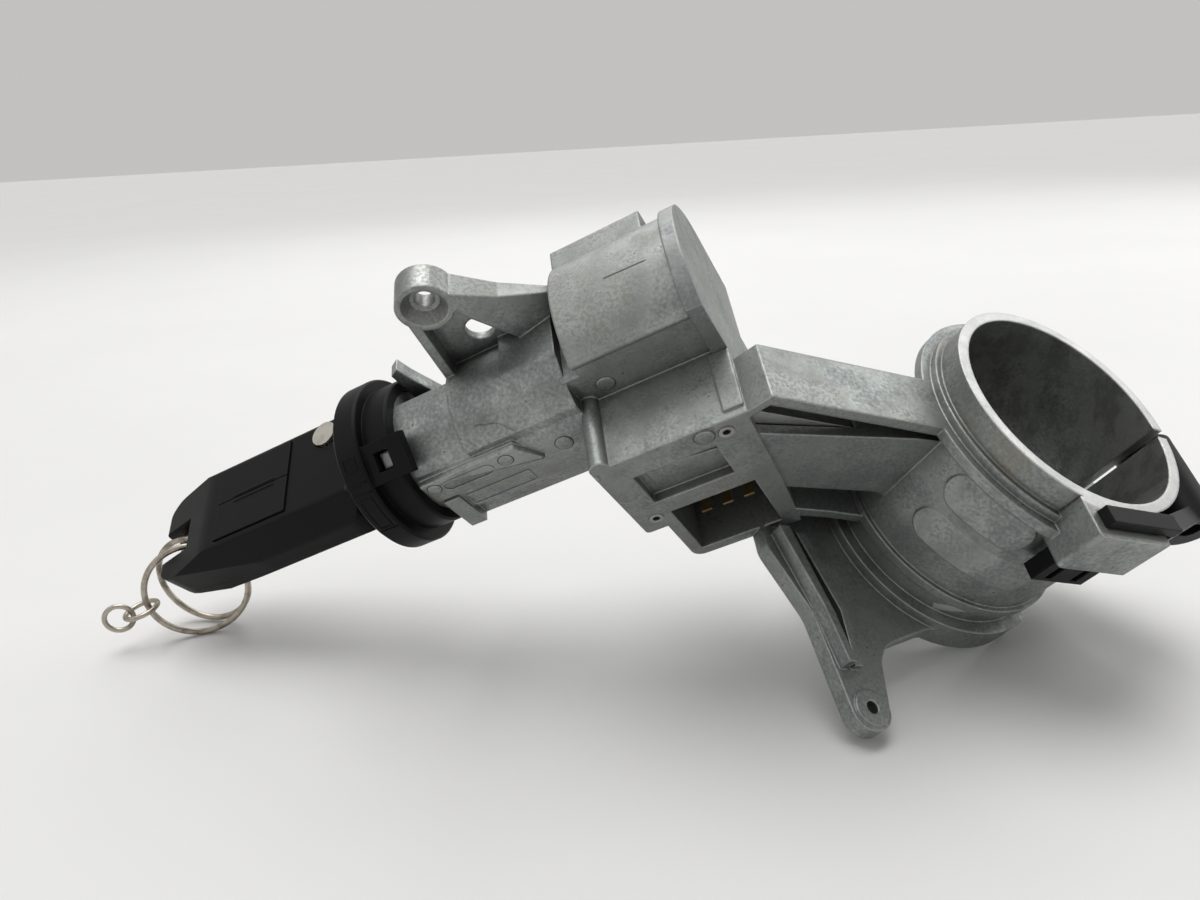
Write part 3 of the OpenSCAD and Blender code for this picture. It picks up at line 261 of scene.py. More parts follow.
class Tree(Graph):
    """Node tree of one procedural material."""

    def __init__(self, name: str) -> None:
        """Starts an empty material with a Principled shader.

        Args:
            name: the material's name.
        """
        self.material = bpy.data.materials.new(name)
        self.material.use_nodes = True
        super().__init__(self.material.node_tree)
        self.nodes.clear()
        self.shader = self.nodes.new("ShaderNodeBsdfPrincipled")
        output = self.nodes.new("ShaderNodeOutputMaterial")
        self.links.new(self.shader.outputs[0], output.inputs[0])

    def coords(self) -> Sock:
        """Object coordinates, in metres of the row frame."""
        return self.node("ShaderNodeTexCoord", {}, {}, "Object")

    def noise(
        self, size_mm: float, detail: float = 4.0, rough: float = 0.55, stretch: Triple = (1, 1, 1)
    ) -> Sock:
        """Noise whose features are about size_mm across.

        Args:
            size_mm: feature size in millimetres.
            detail: octaves.
            rough: share of the finer octaves.
            stretch: scale along each axis.

        Returns:
            The noise value.
        """
        place = self.node("ShaderNodeMapping", {}, {"Vector": self.coords(), "Scale": tuple(stretch)})
        inputs = {"Vector": place, "Scale": 1.0 / (size_mm * MM), "Detail": detail, "Roughness": rough}
        return self.node("ShaderNodeTexNoise", {}, inputs, "Fac")

    def specks(self, size_mm: float) -> Sock:
        """Distance to the nearest of scattered points about size_mm apart."""
        inputs = {"Vector": self.coords(), "Scale": 1.0 / (size_mm * MM)}
        return self.node("ShaderNodeTexVoronoi", {}, inputs, "Distance")

    def vector(self, operation: str, a: Any, b: Any, out: str = "Vector") -> Sock:
        """Adds one Vector Math node."""
        return self.node("ShaderNodeVectorMath", {"operation": operation}, {0: a, 1: b}, out)

    def along(self, origin: Vector, axis: Vector) -> Sock:
        """Millimetres from a point along an axis of the row frame."""
        offset = self.vector("SUBTRACT", self.coords(), tuple(origin))
        return self.vector("DOT_PRODUCT", offset, tuple(axis), "Value") / MM

    def off_axis(self, origin: Vector, axis: Vector) -> Sock:
        """Millimetres from a line of the row frame."""
        offset = self.vector("SUBTRACT", self.coords(), tuple(origin))
        side = self.vector("CROSS_PRODUCT", offset, tuple(axis))
        length = self.node("ShaderNodeVectorMath", {"operation": "LENGTH"}, {0: side}, "Value")
        return length / MM

    def stroke(self, start: Vector, end: Vector, width_mm: float, stray_mm: float) -> Sock:
        """Mask of a thin line between two points of the row frame.

        Args:
            start: one end.
            end: the other end.
            width_mm: half the width of the line.
            stray_mm: how far the line wanders.

        Returns:
            The mask.
        """
        axis = (end - start).normalized()
        reach = (end - start).length / MM
        wander = (self.noise(3.0, 3, 0.6) - 0.5) * stray_mm
        place = self.along(start, axis)
        inside = place.step(-0.3, 0.3) * (1.0 - place.step(reach - 0.3, reach + 0.3))
        return (1.0 - (self.off_axis(start, axis) + wander).step(width_mm * 0.5, width_mm)) * inside

    def corner_shade(self, reach_mm: float) -> Sock:
        """Mask that is 1 deep in corners and 0 on open faces, used to paint shade into corners."""
        settings = {"samples": 6, "only_local": True}
        open_share = self.node("ShaderNodeAmbientOcclusion", settings, {"Distance": reach_mm * MM}, "AO")
        return 1.0 - open_share.step(0.25, 0.85)

    def bump(self, height: Sock, depth_mm: float, soft_mm: float = 0.0) -> Sock:
        """Bump normal of a height from 0 to 1.

        Args:
            height: the height.
            depth_mm: what a height of 1 means.
            soft_mm: radius that rounds the edges of the mesh.

        Returns:
            The normal.
        """
        inputs: dict[Any, Any] = {"Height": height, "Distance": depth_mm * MM, "Strength": 1.0}
        if soft_mm:
            inputs["Normal"] = self.node("ShaderNodeBevel", {"samples": 6}, {"Radius": soft_mm * MM})
        return self.node("ShaderNodeBump", {}, inputs)

    def edges(self, width_mm: float) -> Sock:
        """Mask that is 1 along sharp edges of the mesh.

        Args:
            width_mm: how far the mask reaches from an edge.

        Returns:
            The mask.
        """
        soft = self.node("ShaderNodeBevel", {"samples": 6}, {"Radius": width_mm * MM})
        plain = self.node("ShaderNodeNewGeometry", {}, {}, "Normal")
        return (1.0 - self.vector("DOT_PRODUCT", soft, plain, "Value")).step(0.004, 0.12)

    def finish(self, **inputs: Any) -> bpy.types.Material:
        """Feeds the shader.

        Args:
            inputs: values or sockets; an underscore stands for a space.

        Returns:
            The material.
        """
        for key, value in inputs.items():
            self.feed(self.shader.inputs[key.replace("_", " ")], value)
        return self.material


def rgba(level: Union[float, Triple]) -> tuple[float, float, float, float]:
    """Colour with alpha from a grey level or three numbers."""
    if isinstance(level, (int, float)):
        return (level, level, level, 1.0)
    return (level[0], level[1], level[2], 1.0)


@dataclass(frozen=True)
class Stroke:
    """A scratch, crack or chip between two points of the lock's frame."""

    start: tuple[float, float, float]
    end: tuple[float, float, float]
    width: float = 0.25
    stray: float = 0.0
    wear: Wear = Wear.DARK
    depth: float = 0.85


@dataclass(frozen=True)
class CastZinc:
    """Die-cast zinc: satin grey, mottled by oxide, sandy in places, with painted shade in its corners.
    """

    name: str = "cast_zinc"
    light: tuple[float, float, float] = (0.42, 0.44, 0.43)
    dark: tuple[float, float, float] = (0.195, 0.21, 0.205)
    warm: tuple[float, float, float] = (0.20, 0.185, 0.155)
    # Dark colour of stains, pits, cracks and the soiled bore, also used for the painted shade in
    # corners.
    grime_and_shade: tuple[float, float, float] = (0.055, 0.055, 0.05)
    bright: tuple[float, float, float] = (0.66, 0.665, 0.66)
    roughness: float = 0.36
    metallic: float = 0.9
    soft_mm: float = 0.7
    strokes: tuple[Stroke, ...] = ()
    bore_r: float = 0.0
    bore_half: float = 28.5

    def material(self) -> bpy.types.Material:
        """Builds the material."""
        t = Tree(self.name)
        flow = t.noise(30, 4, 0.55)
        patch = t.noise(7, 5, 0.65)
        sand = t.noise(0.8, 2, 0.5)
        pits = (1.0 - t.specks(2.4).step(0.05, 0.18)) * patch.step(0.48, 0.66)
        tone = (flow * 0.4 + patch * 0.3 + sand * 0.3).step(0.34, 0.66)
        sandy = flow.step(0.44, 0.58) * sand.step(0.42, 0.6)
        stain = (patch * 0.6 + flow * 0.4).step(0.56, 0.7)
        colour = t.mix(tone, rgba(self.dark), rgba(self.light))
        colour = t.mix(sandy * 0.6, colour, rgba(self.warm))
        colour = t.mix(stain * 0.28, colour, rgba(self.grime_and_shade))
        colour = t.mix(pits * 0.75, colour, rgba(self.grime_and_shade))
        # Painted shade: the colour darkens deep in corners and hollows.
        colour = t.mix(t.corner_shade(5.0) * 0.6, colour, rgba(self.grime_and_shade))
        colour = t.mix(t.edges(0.4) * (0.2 + patch * 0.35), colour, rgba(self.bright))
        colour = self.marked(t, colour, patch)
        rough = self.roughness + (1.0 - tone) * 0.2 + sandy * 0.12
        height = sand * 0.45 + patch * 0.4 - pits * 0.5
        return t.finish(Base_Color=colour, Roughness=rough, Metallic=self.metallic,
                        Normal=t.bump(height, 0.09, self.soft_mm))

    def marked(self, t: Tree, colour: Sock, patch: Sock) -> Sock:
        """Adds the strokes, and the soiled bore and worn rim of the clamp.

        Args:
            t: the material's tree.
            colour: the colour so far.
            patch: the noise that breaks the soil up.

        Returns:
            The marked colour.
        """
        for stroke in self.strokes:
            ends = LAY.point(stroke.start), LAY.point(stroke.end)
            shade = self.grime_and_shade if stroke.wear is Wear.DARK else self.bright
            line = t.stroke(*ends, stroke.width, stroke.stray) * stroke.depth
            colour = t.mix(line, colour, rgba(shade))
        if self.bore_r:
            centre = LAY.point(LAY.clamp, Side.COLUMN)
            axis = LAY.axis((0.0, 0.0, 1.0), Side.COLUMN)
            near = t.off_axis(centre, axis)
            height = t.along(centre, axis)
            bore = 1.0 - near.step(self.bore_r + 0.05, self.bore_r + 0.35)
            soil = t.noise(6, 5, 0.7, (1.0, 1.0, 0.5)).step(0.42, 0.62)
            colour = t.mix(bore * (0.2 + soil * 0.35), colour, rgba(self.grime_and_shade))
            wall = 1.0 - near.step(self.bore_r + 3.4, self.bore_r + 4.2)
            collar = height.step(16.0, 21.0) * wall * (1.0 - bore)
            colour = t.mix(collar * patch.step(0.4, 0.62) * 0.6, colour, rgba(self.warm))
            rim = height.step(self.bore_half - 0.35, self.bore_half - 0.1) * wall
            colour = t.mix(rim * (0.45 + patch * 0.5), colour, rgba(self.bright))
        return colour


@dataclass(frozen=True)
class Moulding:
    """Black or pale moulded plastic with a fine spark-eroded grain."""

    name: str = "black_plastic"
    colour: tuple[float, float, float] = (0.005, 0.005, 0.0055)
    worn: tuple[float, float, float] = (0.02, 0.02, 0.02)
    roughness: float = 0.42
    grain_mm: float = 0.35
    depth_mm: float = 0.03
    soft_mm: float = 0.4
    specular: float = 0.13
    seam_z: Union[float, None] = None

    def material(self) -> bpy.types.Material:
        """Builds the material."""
        t = Tree(self.name)
        grain = t.noise(self.grain_mm, 3, 0.6)
        haze = t.noise(14, 4, 0.6)
        dust = (t.noise(2.2, 5, 0.7) * 0.6 + haze * 0.4).step(0.55, 0.8)
        colour = t.mix(dust * 0.35, rgba(self.colour), rgba(self.worn))
        colour = t.mix(t.edges(0.3) * (0.15 + haze * 0.5), colour, rgba(self.worn))
        height = grain
        if self.seam_z is not None:
            level = t.along(LAY.point((0.0, 0.0, self.seam_z)), LAY.axis((0.0, 0.0, 1.0)))
            seam = 1.0 - (level * level).step(0.012, 0.03)
            colour = t.mix(seam * 0.9, colour, rgba(0.001))
            height = grain - seam * 4.0
        rough = self.roughness + (haze - 0.5) * 0.16 + dust * 0.1
        return t.finish(Base_Color=colour, Roughness=rough, Specular_IOR_Level=self.specular,
                        Normal=t.bump(height, self.depth_mm, self.soft_mm))


@dataclass(frozen=True)
class BareMetal:
    """Drawn, turned or plated metal with fine lines and some tarnish."""

    name: str = "steel"
    colour: tuple[float, float, float] = (0.50, 0.50, 0.49)
    tarnish: tuple[float, float, float] = (0.22, 0.20, 0.175)
    amount: float = 0.4
    roughness: float = 0.28
    stretch: tuple[float, float, float] = (1.0, 1.0, 1.0)

    def material(self) -> bpy.types.Material:
        """Builds the material."""
        t = Tree(self.name)
        lines = t.noise(0.5, 3, 0.6, self.stretch)
        cloud = t.noise(4, 5, 0.6)
        share = cloud.step(0.42, 0.72) * self.amount
        colour = t.mix(share, rgba(self.colour), rgba(self.tarnish))
        rough = self.roughness + lines * 0.12 + share * 0.25
        normal = t.bump(lines, 0.02, 0.15)
        return t.finish(Base_Color=colour, Roughness=rough, Metallic=1.0, Normal=normal)


HOUSING_STROKES = (
    Stroke((75.9, 1.99, 24.91), (86.0, 1.65, 24.88), 0.3, 0.1),
    Stroke((112.3, -50.4, -68.7), (119.3, -52.65, -71.8), 1.5, 1.6, Wear.BRIGHT),
    Stroke((35.0, -11.22, 13.04), (40.27, -12.23, 12.1), 0.3, 0.7, depth=0.5),
    Stroke((40.27, -12.23, 12.1), (43.4, -14.3, 9.5), 0.26, 0.7, depth=0.4),
)

FINISHES: dict[str, Any] = {
    "cast_zinc": CastZinc(strokes=HOUSING_STROKES, bore_r=27.0),
    "cast_cover": CastZinc("cast_cover", (0.36, 0.375, 0.375), (0.20, 0.215, 0.215), roughness=0.34),
    "steel": BareMetal("steel"),
    "reader_plastic": Moulding("reader_plastic", roughness=0.46),
    "coil_wire": BareMetal("coil_wire", (0.55, 0.25, 0.12), (0.3, 0.12, 0.06)),
    "zinc_sleeve": BareMetal("zinc_sleeve", (0.5, 0.5, 0.5)),
    "plug_metal": BareMetal("plug_metal", (0.5, 0.5, 0.49)),
    "brass": BareMetal("brass", (0.46, 0.34, 0.16), (0.2, 0.14, 0.06), 0.7, 0.36),
    "switch_plastic": Moulding("switch_plastic", (0.012, 0.012, 0.013), roughness=0.5),
    "pale_plastic": Moulding("pale_plastic", (0.6, 0.58, 0.5), (0.7, 0.68, 0.62), 0.5),
    "clip_plastic": Moulding("clip_plastic", (0.008, 0.008, 0.009), roughness=0.42),
    "blade_steel": BareMetal("blade_steel", (0.62, 0.61, 0.58), stretch=(0.2, 1.0, 1.0)),
    "fob_plastic": Moulding(
        "fob_plastic", worn=(0.02, 0.02, 0.021), roughness=0.38, depth_mm=0.025, seam_z=-3.0
    ),
    "button_rubber": Moulding("button_rubber", (0.007, 0.007, 0.0075), (0.025, 0.025, 0.025), 0.52),
    "chrome": BareMetal("chrome", (0.74, 0.71, 0.65), (0.30, 0.26, 0.21), 0.6, 0.2),
    "board": Moulding("board", (0.02, 0.16, 0.08), (0.1, 0.25, 0.12), 0.4),
    "ring_steel": BareMetal("ring_steel", (0.46, 0.42, 0.36), (0.16, 0.13, 0.10), 0.75, 0.26),
    # Dark finish that paints the shade of grooves round the casting's marks.
    "groove": Moulding("groove", (0.06, 0.062, 0.06), (0.14, 0.14, 0.135), 0.6),
}


@dataclass(frozen=True)
class Seat:
    """Place on a face: its middle, the way out of it and the way across it, in the lock's frame."""

    middle: tuple[float, float, float]
    out: tuple[float, float, float]
    across: tuple[float, float, float] = (1.0, 0.0, 0.0)

    def matrix(self) -> Matrix:
        """Placing matrix from a drawing on XY, in millimetres, to the row frame."""
        z = Vector(self.out).normalized()
        x = Vector(self.across)
        x = (x - z * x.dot(z)).normalized()
        turn = Matrix((x, z.cross(x), z)).transposed().to_4x4()
        return LAY.place() @ Matrix.Translation(self.middle) @ turn


@dataclass
class Bench:
    """Modelling bench: pieces are drawn in millimetres on XY, with Z out of the face."""

    finishes: dict[str, bpy.types.Material]
    sink: float = 0.3
    sides: int = 40
    lip: float = 0.03
    round_end: float = 0.49
    smooth_angle: float = 35.0

    def clear(self) -> None:
        """Leaves edit mode and deselects everything."""
        if bpy.context.object and bpy.context.object.mode != "OBJECT":
            bpy.ops.object.mode_set(mode="OBJECT")
        bpy.ops.object.select_all(action="DESELECT")

    def pick(self, test: Callable[[Vector, Vector], bool]) -> None:
        """Selects faces of the piece in hand.

        Args:
            test: says from a face's centre and normal whether it is taken.
        """
        bpy.ops.object.mode_set(mode="EDIT")
        bpy.ops.mesh.select_mode(type="FACE")
        bpy.ops.mesh.select_all(action="DESELECT")
        bpy.ops.object.mode_set(mode="OBJECT")
        for face in bpy.context.object.data.polygons:
            face.select = test(face.center, face.normal)
        bpy.ops.object.mode_set(mode="EDIT")

    def lift(self, height: float) -> None:
        """Extrudes what is selected along Z."""
        bpy.ops.mesh.extrude_region_move(TRANSFORM_OT_translate={"value": (0.0, 0.0, height)})

    def soften(self, level: float, width: float) -> None:
        """Bevels the rim of the faces that lie at a level.

        Args:
            level: height of the faces.
            width: width of the bevel.
        """
        self.pick(lambda centre, normal: centre.z > level - 0.01 and normal.z > 0.9)
        bpy.ops.mesh.region_to_loop()
        bpy.ops.mesh.bevel(offset=width, segments=2, affect="EDGES")

    def close(self) -> None:
        """Turns all faces outwards."""
        bpy.ops.mesh.select_mode(type="FACE")
        bpy.ops.mesh.select_all(action="SELECT")
        bpy.ops.mesh.normals_make_consistent(inside=False)

    def plate(self, width: float, height: float, corner: float, cuts: int = 0) -> None:
        """Starts a flat plate, sunk below the face.

        Args:
            width: size along X.
            height: size along Y.
            corner: radius of its corners.
            cuts: cuts along each side, for a plate that is bent later.
        """
        self.clear()
        bpy.ops.mesh.primitive_plane_add(size=1.0)
        bpy.ops.object.mode_set(mode="EDIT")
        bpy.ops.mesh.select_all(action="SELECT")
        bpy.ops.transform.resize(value=(width, height, 1.0))
        bpy.ops.transform.translate(value=(0.0, 0.0, -self.sink))
        if cuts:
            bpy.ops.mesh.subdivide(number_cuts=cuts)
        if corner:
            bpy.ops.mesh.bevel(offset=corner, segments=6, affect="VERTICES")

    def frame(
        self, width: float, height: float, corner: float, line: float, rise: float, cuts: int = 0
    ) -> None:
        """Models a raised outline.

        Args:
            width: outer size along X.
            height: outer size along Y.
            corner: radius of its corners.
            line: width of the line.
            rise: how far it stands out.
            cuts: cuts along each side, for a frame that is bent later.
        """
        self.plate(width, height, corner, cuts)
        bpy.ops.mesh.inset(thickness=line, depth=0.0)
        bpy.ops.mesh.delete(type="FACE")
        bpy.ops.mesh.select_all(action="SELECT")
        self.lift(self.sink + rise)
        self.close()
        self.soften(rise, rise * 0.35)
        bpy.ops.object.mode_set(mode="OBJECT")
        # The side walls take the second finish; on the housing's frames this is painted shade.
        for face in bpy.context.object.data.polygons:
            face.material_index = int(abs(face.normal.z) < 0.3)

    def bar(self, width: float, height: float, rise: float) -> None:
        """Models a raised bar with round ends."""
        self.plate(width, height, height * self.round_end)
        self.lift(self.sink + rise)
        self.close()
        self.soften(rise, rise * 0.4)

    def disc(self, radius: float, groove: float, rise: float) -> None:
        """Models the round witness of an ejector pin: a disc in a flat dark ring that paints the shade
        of a groove.

        Args:
            radius: radius of the disc.
            groove: width of the flat dark ring of painted groove shade.
            rise: how far the disc stands out.
        """
        self.clear()
        bpy.ops.mesh.primitive_circle_add(vertices=self.sides, radius=radius + groove, fill_type="NGON")
        bpy.ops.object.mode_set(mode="EDIT")
        bpy.ops.mesh.select_all(action="SELECT")
        bpy.ops.transform.translate(value=(0.0, 0.0, -self.sink))
        self.lift(self.sink + self.lip)
        bpy.ops.mesh.inset(thickness=groove, depth=0.0)
        self.lift(rise)
        self.close()
        self.soften(rise, rise * 0.5)
        bpy.ops.object.mode_set(mode="OBJECT")
        # The flat ring takes the second finish: painted shade of a groove.
        for face in bpy.context.object.data.polygons:
            face.material_index = int(face.center.xy.length > radius and face.normal.z > 0.9)

    def take(self, piece: bpy.types.Object) -> None:
        """Takes a piece in hand."""
        self.clear()
        piece.select_set(True)
        bpy.context.view_layer.objects.active = piece

    def copies(self, count: int) -> list[bpy.types.Object]:
        """Copies the piece in hand, each copy with its own mesh.

        Args:
            count: how many pieces are wanted in all.

        Returns:
            The pieces, the one in hand first.
        """
        bpy.ops.object.mode_set(mode="OBJECT")
        pieces = [bpy.context.object]
        while len(pieces) < count:
            self.take(pieces[0])
            bpy.ops.object.duplicate()
            pieces.append(bpy.context.object)
        return pieces

    def settle(self, name: str, place: Matrix, body: Body, slot: str, *extra: str) -> None:
        """Puts the piece in hand in its place and dresses it.

        Args:
            name: the piece's name.
            place: matrix from the drawing to the row frame.
            body: the body it rides on.
            slot: the material slot of its finish.
            extra: further finishes of the same piece.
        """
        bpy.ops.object.mode_set(mode="OBJECT")
        piece = bpy.context.object
        piece.name = piece.data.name = name
        piece.data.transform(place)
        bpy.ops.object.shade_smooth_by_angle(angle=math.radians(self.smooth_angle))
        for finish in (slot, *extra):
            piece.data.materials.append(self.finishes[finish])
        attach(piece, body.value)
        LOG.info("%s rides on %s", name, body.value)


@dataclass
class HousingMarks:
    """Small raised marks of the casting: strip, witnesses, pin rim, bare frames and a burr."""

    bench: Bench
    front: tuple[float, float, float] = (0.0, -1.0, 0.0)
    ledge: tuple[float, float, float] = (30.4, -15.5, 3.5)
    ledge_size: tuple[float, float] = (30.6, 7.6)
    ledge_slant: float = 4.8
    ledge_rise: float = 1.6
    ledge_edge: float = 0.5
    ledge_corner: float = 0.6
    discs: tuple[tuple[float, float, float, float, float], ...] = (
        (37.6, -17.1, 4.6, 1.7, 0.0),
        (17.9, -17.1, 4.8, 1.6, 0.0),
        (51.2, -15.97, 1.0, 2.0, 0.0626),
        (66.4, -11.0, 8.4, 2.1, 0.0),
    )
    pin: tuple[float, float, float] = (83.7, -30.2, 1.9)
    pin_radius: float = 2.1
    # Width of the flat dark ring of painted groove shade round each disc.
    groove: float = 0.28
    oval: tuple[float, float, float] = (27.0, -17.1, 4.0)
    oval_size: tuple[float, float] = (14.0, 3.8)
    long: tuple[float, float, float] = (30.5, -16.0, -5.2)
    long_size: tuple[float, float] = (18.0, 4.8)
    long_corner: float = 0.5
    line: float = 0.4
    rise: float = 0.2
    burr: tuple[float, float, float] = (58.6, -29.9, 2.0)
    burr_radius: float = 0.75
    burr_shape: tuple[float, float, float] = (0.7, 1.4, 0.8)
    burr_rough: float = 0.16
    plate: tuple[float, float, float] = (75.75, -27.5, -7.45)
    plate_size: tuple[float, float] = (17.6, 9.5)
    plate_rise: float = 0.5
    plate_corner: float = 0.8
    ridge: tuple[float, float, float] = (79.6, -28.0, -5.4)
    ridge_size: tuple[float, float] = (9.4, 0.6)
    ridge_along: tuple[float, float, float] = (1.0, 0.0, -0.12)

    def mark(self, name: str, middle: Triple, *extra: str) -> None:
        """Puts the piece in hand on a face that looks to the front.

        Args:
            name: the mark's name.
            middle: its place.
            extra: further finishes of the mark.
        """
        self.bench.settle(name, Seat(middle, self.front).matrix(), Body.HOUSING, "cast_zinc", *extra)

    def build(self) -> None:
        """Models every mark."""
        self.strip()
        for number, (x, y, z, radius, tilt) in enumerate(self.discs, 1):
            # Each witness gets a flat dark ring of painted groove shade round its disc.
            self.bench.disc(radius, self.groove, self.rise)
            place = Seat((x, y, z), (0.0, -1.0, tilt)).matrix()
            self.bench.settle(f"ejector_mark_{number}", place, Body.HOUSING, "cast_zinc", "groove")
        self.bench.disc(self.pin_radius, self.groove, self.rise)
        self.mark("pin_rim", self.pin, "groove")
        # The oval and long frames have side walls in painted groove shade.
        oval_corner = self.oval_size[1] * self.bench.round_end
        self.bench.frame(*self.oval_size, oval_corner, self.line, self.rise)
        self.mark("oval_frame", self.oval, "groove")
        self.bench.frame(*self.long_size, self.long_corner, self.line, self.rise)
        self.mark("long_frame", self.long, "groove")
        self.window()
        self.crumb()

    def strip(self) -> None:
        """Models the raised skin of the upper strip, with its slanted end."""
        bench = self.bench
        bench.plate(*self.ledge_size, 0.0)
        bpy.ops.object.mode_set(mode="OBJECT")
        for vertex in bpy.context.object.data.vertices:
            if vertex.co.x > 0 and vertex.co.y > 0:
                vertex.co.x -= self.ledge_slant
        bench.pick(lambda centre, normal: True)
        bpy.ops.mesh.bevel(offset=self.ledge_corner, segments=4, affect="VERTICES")
        bpy.ops.mesh.select_all(action="SELECT")
        bench.lift(bench.sink + self.ledge_rise)
        bench.close()
        bench.soften(self.ledge_rise, self.ledge_edge)
        self.mark("strip_ledge", self.ledge)

    def window(self) -> None:
        """Models the raised floor of the front window and the ridge on it."""
        self.bench.plate(*self.plate_size, self.plate_corner)
        self.bench.lift(self.bench.sink + self.plate_rise)
        self.bench.close()
        self.bench.soften(self.plate_rise, self.plate_rise * 0.6)
        self.mark("window_floor", self.plate)
        self.bench.bar(*self.ridge_size, self.plate_rise)
        seat = Seat(self.ridge, self.front, self.ridge_along)
        self.bench.settle("window_ridge", seat.matrix(), Body.HOUSING, "cast_zinc")

    def crumb(self) -> None:
        """Models the burr left under the rib."""
        self.bench.clear()
        bpy.ops.mesh.primitive_ico_sphere_add(subdivisions=3, radius=self.burr_radius)
        bpy.ops.object.mode_set(mode="EDIT")
        bpy.ops.mesh.select_all(action="SELECT")
        bpy.ops.transform.resize(value=self.burr_shape)
        bpy.ops.transform.vertex_random(offset=self.burr_rough, seed=7)
        bpy.ops.mesh.normals_make_consistent(inside=False)
        self.mark("burr", self.burr)


@dataclass
class ReaderMarks:
    """Raised outlines on the reader ring's band, left bare."""

    bench: Bench
    radius: float = 22.0
    band_x: float = 3.6
    outlines: tuple[tuple[str, float, float, float], ...] = (
        ("reader_square", 33.0, 3.4, 3.6),
        ("reader_frame", 68.0, 9.0, 3.6),
    )
    cuts: int = 7
    ticks: tuple[float, ...] = (46.0, 53.0, 82.0)
    tick_size: tuple[float, float] = (0.4, 5.0)
    line: float = 0.3
    rise: float = 0.18

    def wrap(self, angle: float) -> None:
        """Bends the flat drawing round the ring.

        Args:
            angle: place round the ring, from its top towards the front.
        """
        bpy.ops.object.mode_set(mode="OBJECT")
        for vertex in bpy.context.object.data.vertices:
            across, along, out = vertex.co
            turn = math.radians(angle) + across / self.radius
            reach = self.radius + out
            vertex.co = (self.band_x - along, -reach * math.sin(turn), reach * math.cos(turn))

    def build(self) -> None:
        """Models the outlines and the short cross lines."""
        for name, angle, width, height in self.outlines:
            self.bench.frame(width, height, 0.0, self.line, self.rise, self.cuts)
            self.wrap(angle)
            self.bench.settle(name, LAY.place(), Body.HOUSING, "reader_plastic", "reader_plastic")
        self.bench.bar(*self.tick_size, self.rise)
        bars = self.bench.copies(len(self.ticks))
        for number, (bar, angle) in enumerate(zip(bars, self.ticks), 1):
            self.bench.take(bar)
            self.wrap(angle)
            self.bench.settle(f"reader_tick_{number}", LAY.place(), Body.HOUSING, "reader_plastic")


@dataclass
class PadBars:
    """The two thin bars beside the split between the remote's buttons."""

    bench: Bench
    middle: tuple[float, float, float] = (-38.0, 4.5, 8.4)
    size: tuple[float, float] = (14.0, 0.7)
    aside: float = 0.85
    rise: float = 0.22

    def build(self) -> None:
        """Models one bar for each button."""
        x, y, z = self.middle
        pads = (
            ("lock_pad_bar", -self.aside, Body.LOCK_PAD),
            ("unlock_pad_bar", self.aside, Body.UNLOCK_PAD),
        )
        self.bench.bar(*self.size, self.rise)
        for bar, (name, shift, body) in zip(self.bench.copies(len(pads)), pads):
            self.bench.take(bar)
            seat = Seat((x, y + shift, z), (0.0, 0.0, 1.0))
            self.bench.settle(name, seat.matrix(), body, "button_rubber")


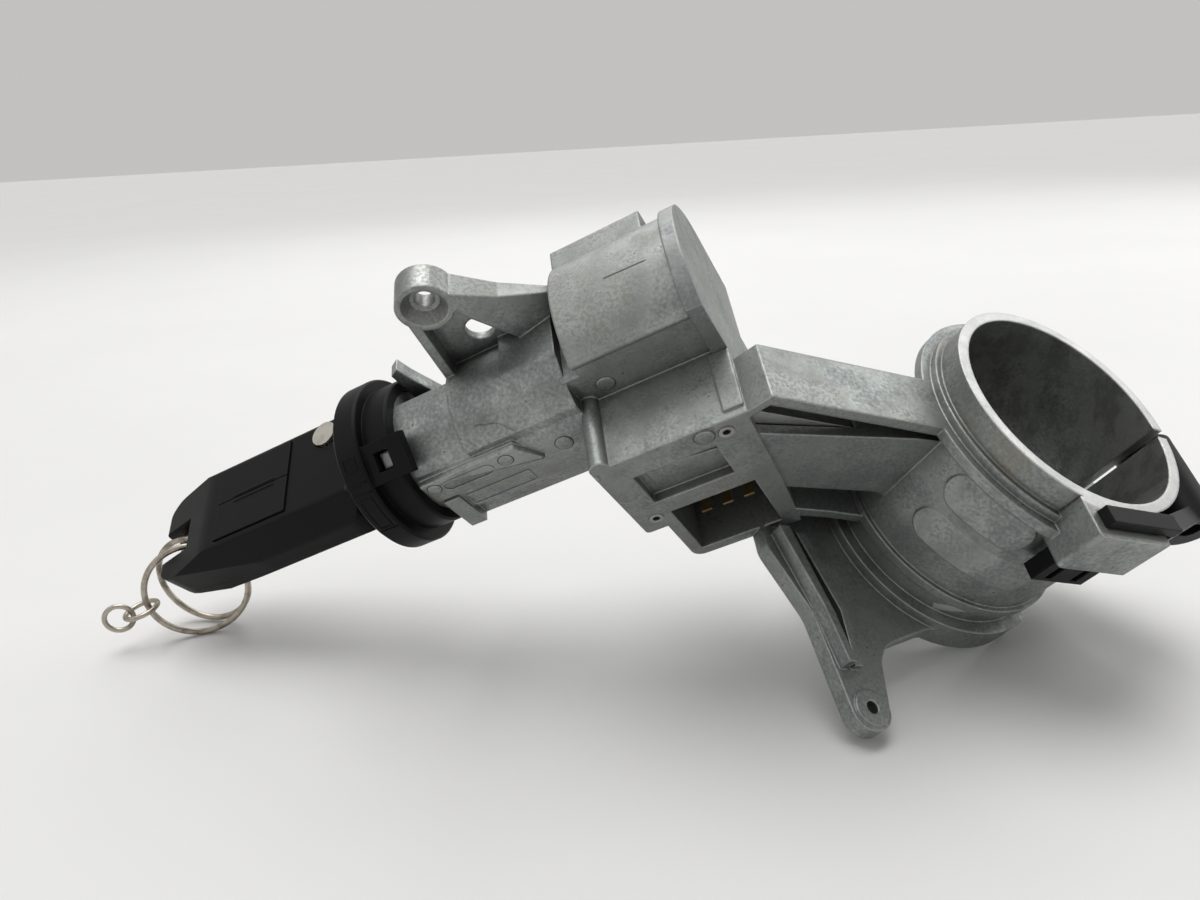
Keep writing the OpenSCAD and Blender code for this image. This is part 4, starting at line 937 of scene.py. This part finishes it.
@dataclass
class Studio:
    """Pale floor, soft light and the camera."""

    eye_mm: tuple[float, float, float] = (118.2, -139.9, 146.6)
    right: tuple[float, float, float] = (0.884, -0.12, -0.452)
    ahead: tuple[float, float, float] = (-0.298, 0.601, -0.742)
    lens: float = 26.4
    sensor: float = 36.0
    floor_size: float = 9.0
    floor_middle: tuple[float, float] = (0.0, 1.5)
    floor_tones: tuple[tuple[float, float, float], ...] = ((0.72, 0.715, 0.70), (0.78, 0.775, 0.765))
    aim: tuple[float, float, float] = (-0.08, 0.0, 0.0)
    low_sky: tuple[float, float, float] = (0.17, 0.17, 0.17)
    high_sky: tuple[float, float, float] = (0.45, 0.45, 0.45)
    backdrop: tuple[float, float, float] = (0.54, 0.535, 0.52)
    sun_from: tuple[float, float, float] = (-0.22, 0.22, 1.3)
    sun_level: float = 1.75
    sun_angle: float = 45.0
    lamps: tuple[tuple[str, tuple[float, float, float], float, float], ...] = (
        ("lamp_back", (-0.2, 0.9, 0.75), 0.7, 2.5),
        ("lamp_left", (-1.2, -0.5, 0.9), 0.8, 1.5),
        ("lamp_right", (0.95, 0.6, 0.75), 0.9, 4.2),
    )

    def camera(self) -> None:
        """Sets the camera to the photograph's view."""
        data = bpy.data.cameras.new("camera")
        data.lens, data.sensor_width, data.sensor_fit = self.lens, self.sensor, "HORIZONTAL"
        data.clip_start = 0.01
        cam = bpy.data.objects.new("camera", data)
        bpy.context.scene.collection.objects.link(cam)
        back = -LAY.axis(self.ahead)
        across = LAY.axis(self.right)
        up = back.cross(across).normalized()
        across = up.cross(back)
        turn = Matrix((across, up, back)).transposed().to_4x4()
        cam.matrix_world = Matrix.Translation(LAY.point(self.eye_mm)) @ turn
        bpy.context.scene.camera = cam

    def floor(self, z: float) -> None:
        """Lays the pale floor.

        Args:
            z: height of the floor in the row frame.
        """
        bpy.ops.object.select_all(action="DESELECT")
        bpy.ops.mesh.primitive_plane_add(size=self.floor_size, location=(*self.floor_middle, z))
        plane = bpy.context.object
        plane.name = "floor"
        t = Tree("floor")
        cloud = t.noise(180, 4, 0.6)
        colour = t.mix(cloud, *(rgba(tone) for tone in self.floor_tones))
        plane.data.materials.append(t.finish(Base_Color=colour, Roughness=0.55))
        plane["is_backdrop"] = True

    def hang(self, name: str, data: bpy.types.Light, at: Triple) -> None:
        """Hangs a lamp and aims it at the part.

        Args:
            name: the lamp's name.
            data: the lamp.
            at: its place.
        """
        lamp = bpy.data.objects.new(name, data)
        bpy.context.scene.collection.objects.link(lamp)
        turn = (Vector(self.aim) - Vector(at)).to_track_quat("-Z", "Y").to_matrix().to_4x4()
        lamp.matrix_world = Matrix.Translation(at) @ turn

    def surround(self) -> None:
        """Lights the part from a grey sky, and shows a pale one to the camera and in reflections."""
        world = bpy.data.worlds.new("surround")
        bpy.context.scene.world = world
        world.use_nodes = True
        g = Graph(world.node_tree)
        way = g.node("ShaderNodeTexCoord", {}, {}, "Generated")
        height = g.node("ShaderNodeSeparateXYZ", {}, {0: way}, "Z")
        stops = ((0.0, rgba(self.low_sky)), (1.0, rgba(self.high_sky)))
        sky = g.node("ShaderNodeValToRGB", {"stops": stops}, {0: height})
        camera, glossy, through = (
            g.node("ShaderNodeLightPath", {}, {}, f"Is {ray} Ray")
            for ray in ("Camera", "Glossy", "Transmission")
        )
        shown = g.mix(camera.most(glossy).most(through), sky, rgba(self.backdrop))
        g.feed(g.nodes["Background"].inputs["Color"], shown)

    def light(self) -> None:
        """Soft light from above and behind."""
        self.surround()
        sun = bpy.data.lights.new("sun", "SUN")
        sun.energy, sun.angle = self.sun_level, math.radians(self.sun_angle)
        self.hang("sun", sun, self.sun_from)
        for name, at, size, power in self.lamps:
            data = bpy.data.lights.new(name, "AREA")
            data.size, data.energy = size, power
            self.hang(name, data, at)
        bpy.context.scene.view_settings.view_transform = "Standard"


@dataclass
class Dresser:
    """Gives every solid its finish."""

    frame: dict[str, Any]

    def dress(self) -> dict[str, bpy.types.Material]:
        """Puts a material on each node by its slot.

        Returns:
            The materials by slot.
        """
        made = {name: finish.material() for name, finish in FINISHES.items()}
        for part in self.frame["record"]["subparts"]:
            solid = self.frame["nodes"][part["node"]]
            solid.data.materials.clear()
            solid.data.materials.append(made[part["material_slot"]])
            LOG.info("%s: %s", part["node"], part["material_slot"])
        return made


def main() -> None:
    """Builds the scene in order."""
    logging.basicConfig(level=logging.INFO, format="%(name)s %(message)s")
    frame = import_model()
    solid_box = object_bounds()
    studio = Studio()
    studio.camera()
    bench = Bench(Dresser(frame).dress())
    for group in (HousingMarks(bench), ReaderMarks(bench), PadBars(bench)):
        group.build()
    bench.clear()
    studio.floor(solid_box[0][2])
    studio.light()


if __name__ == "__main__":
    main()
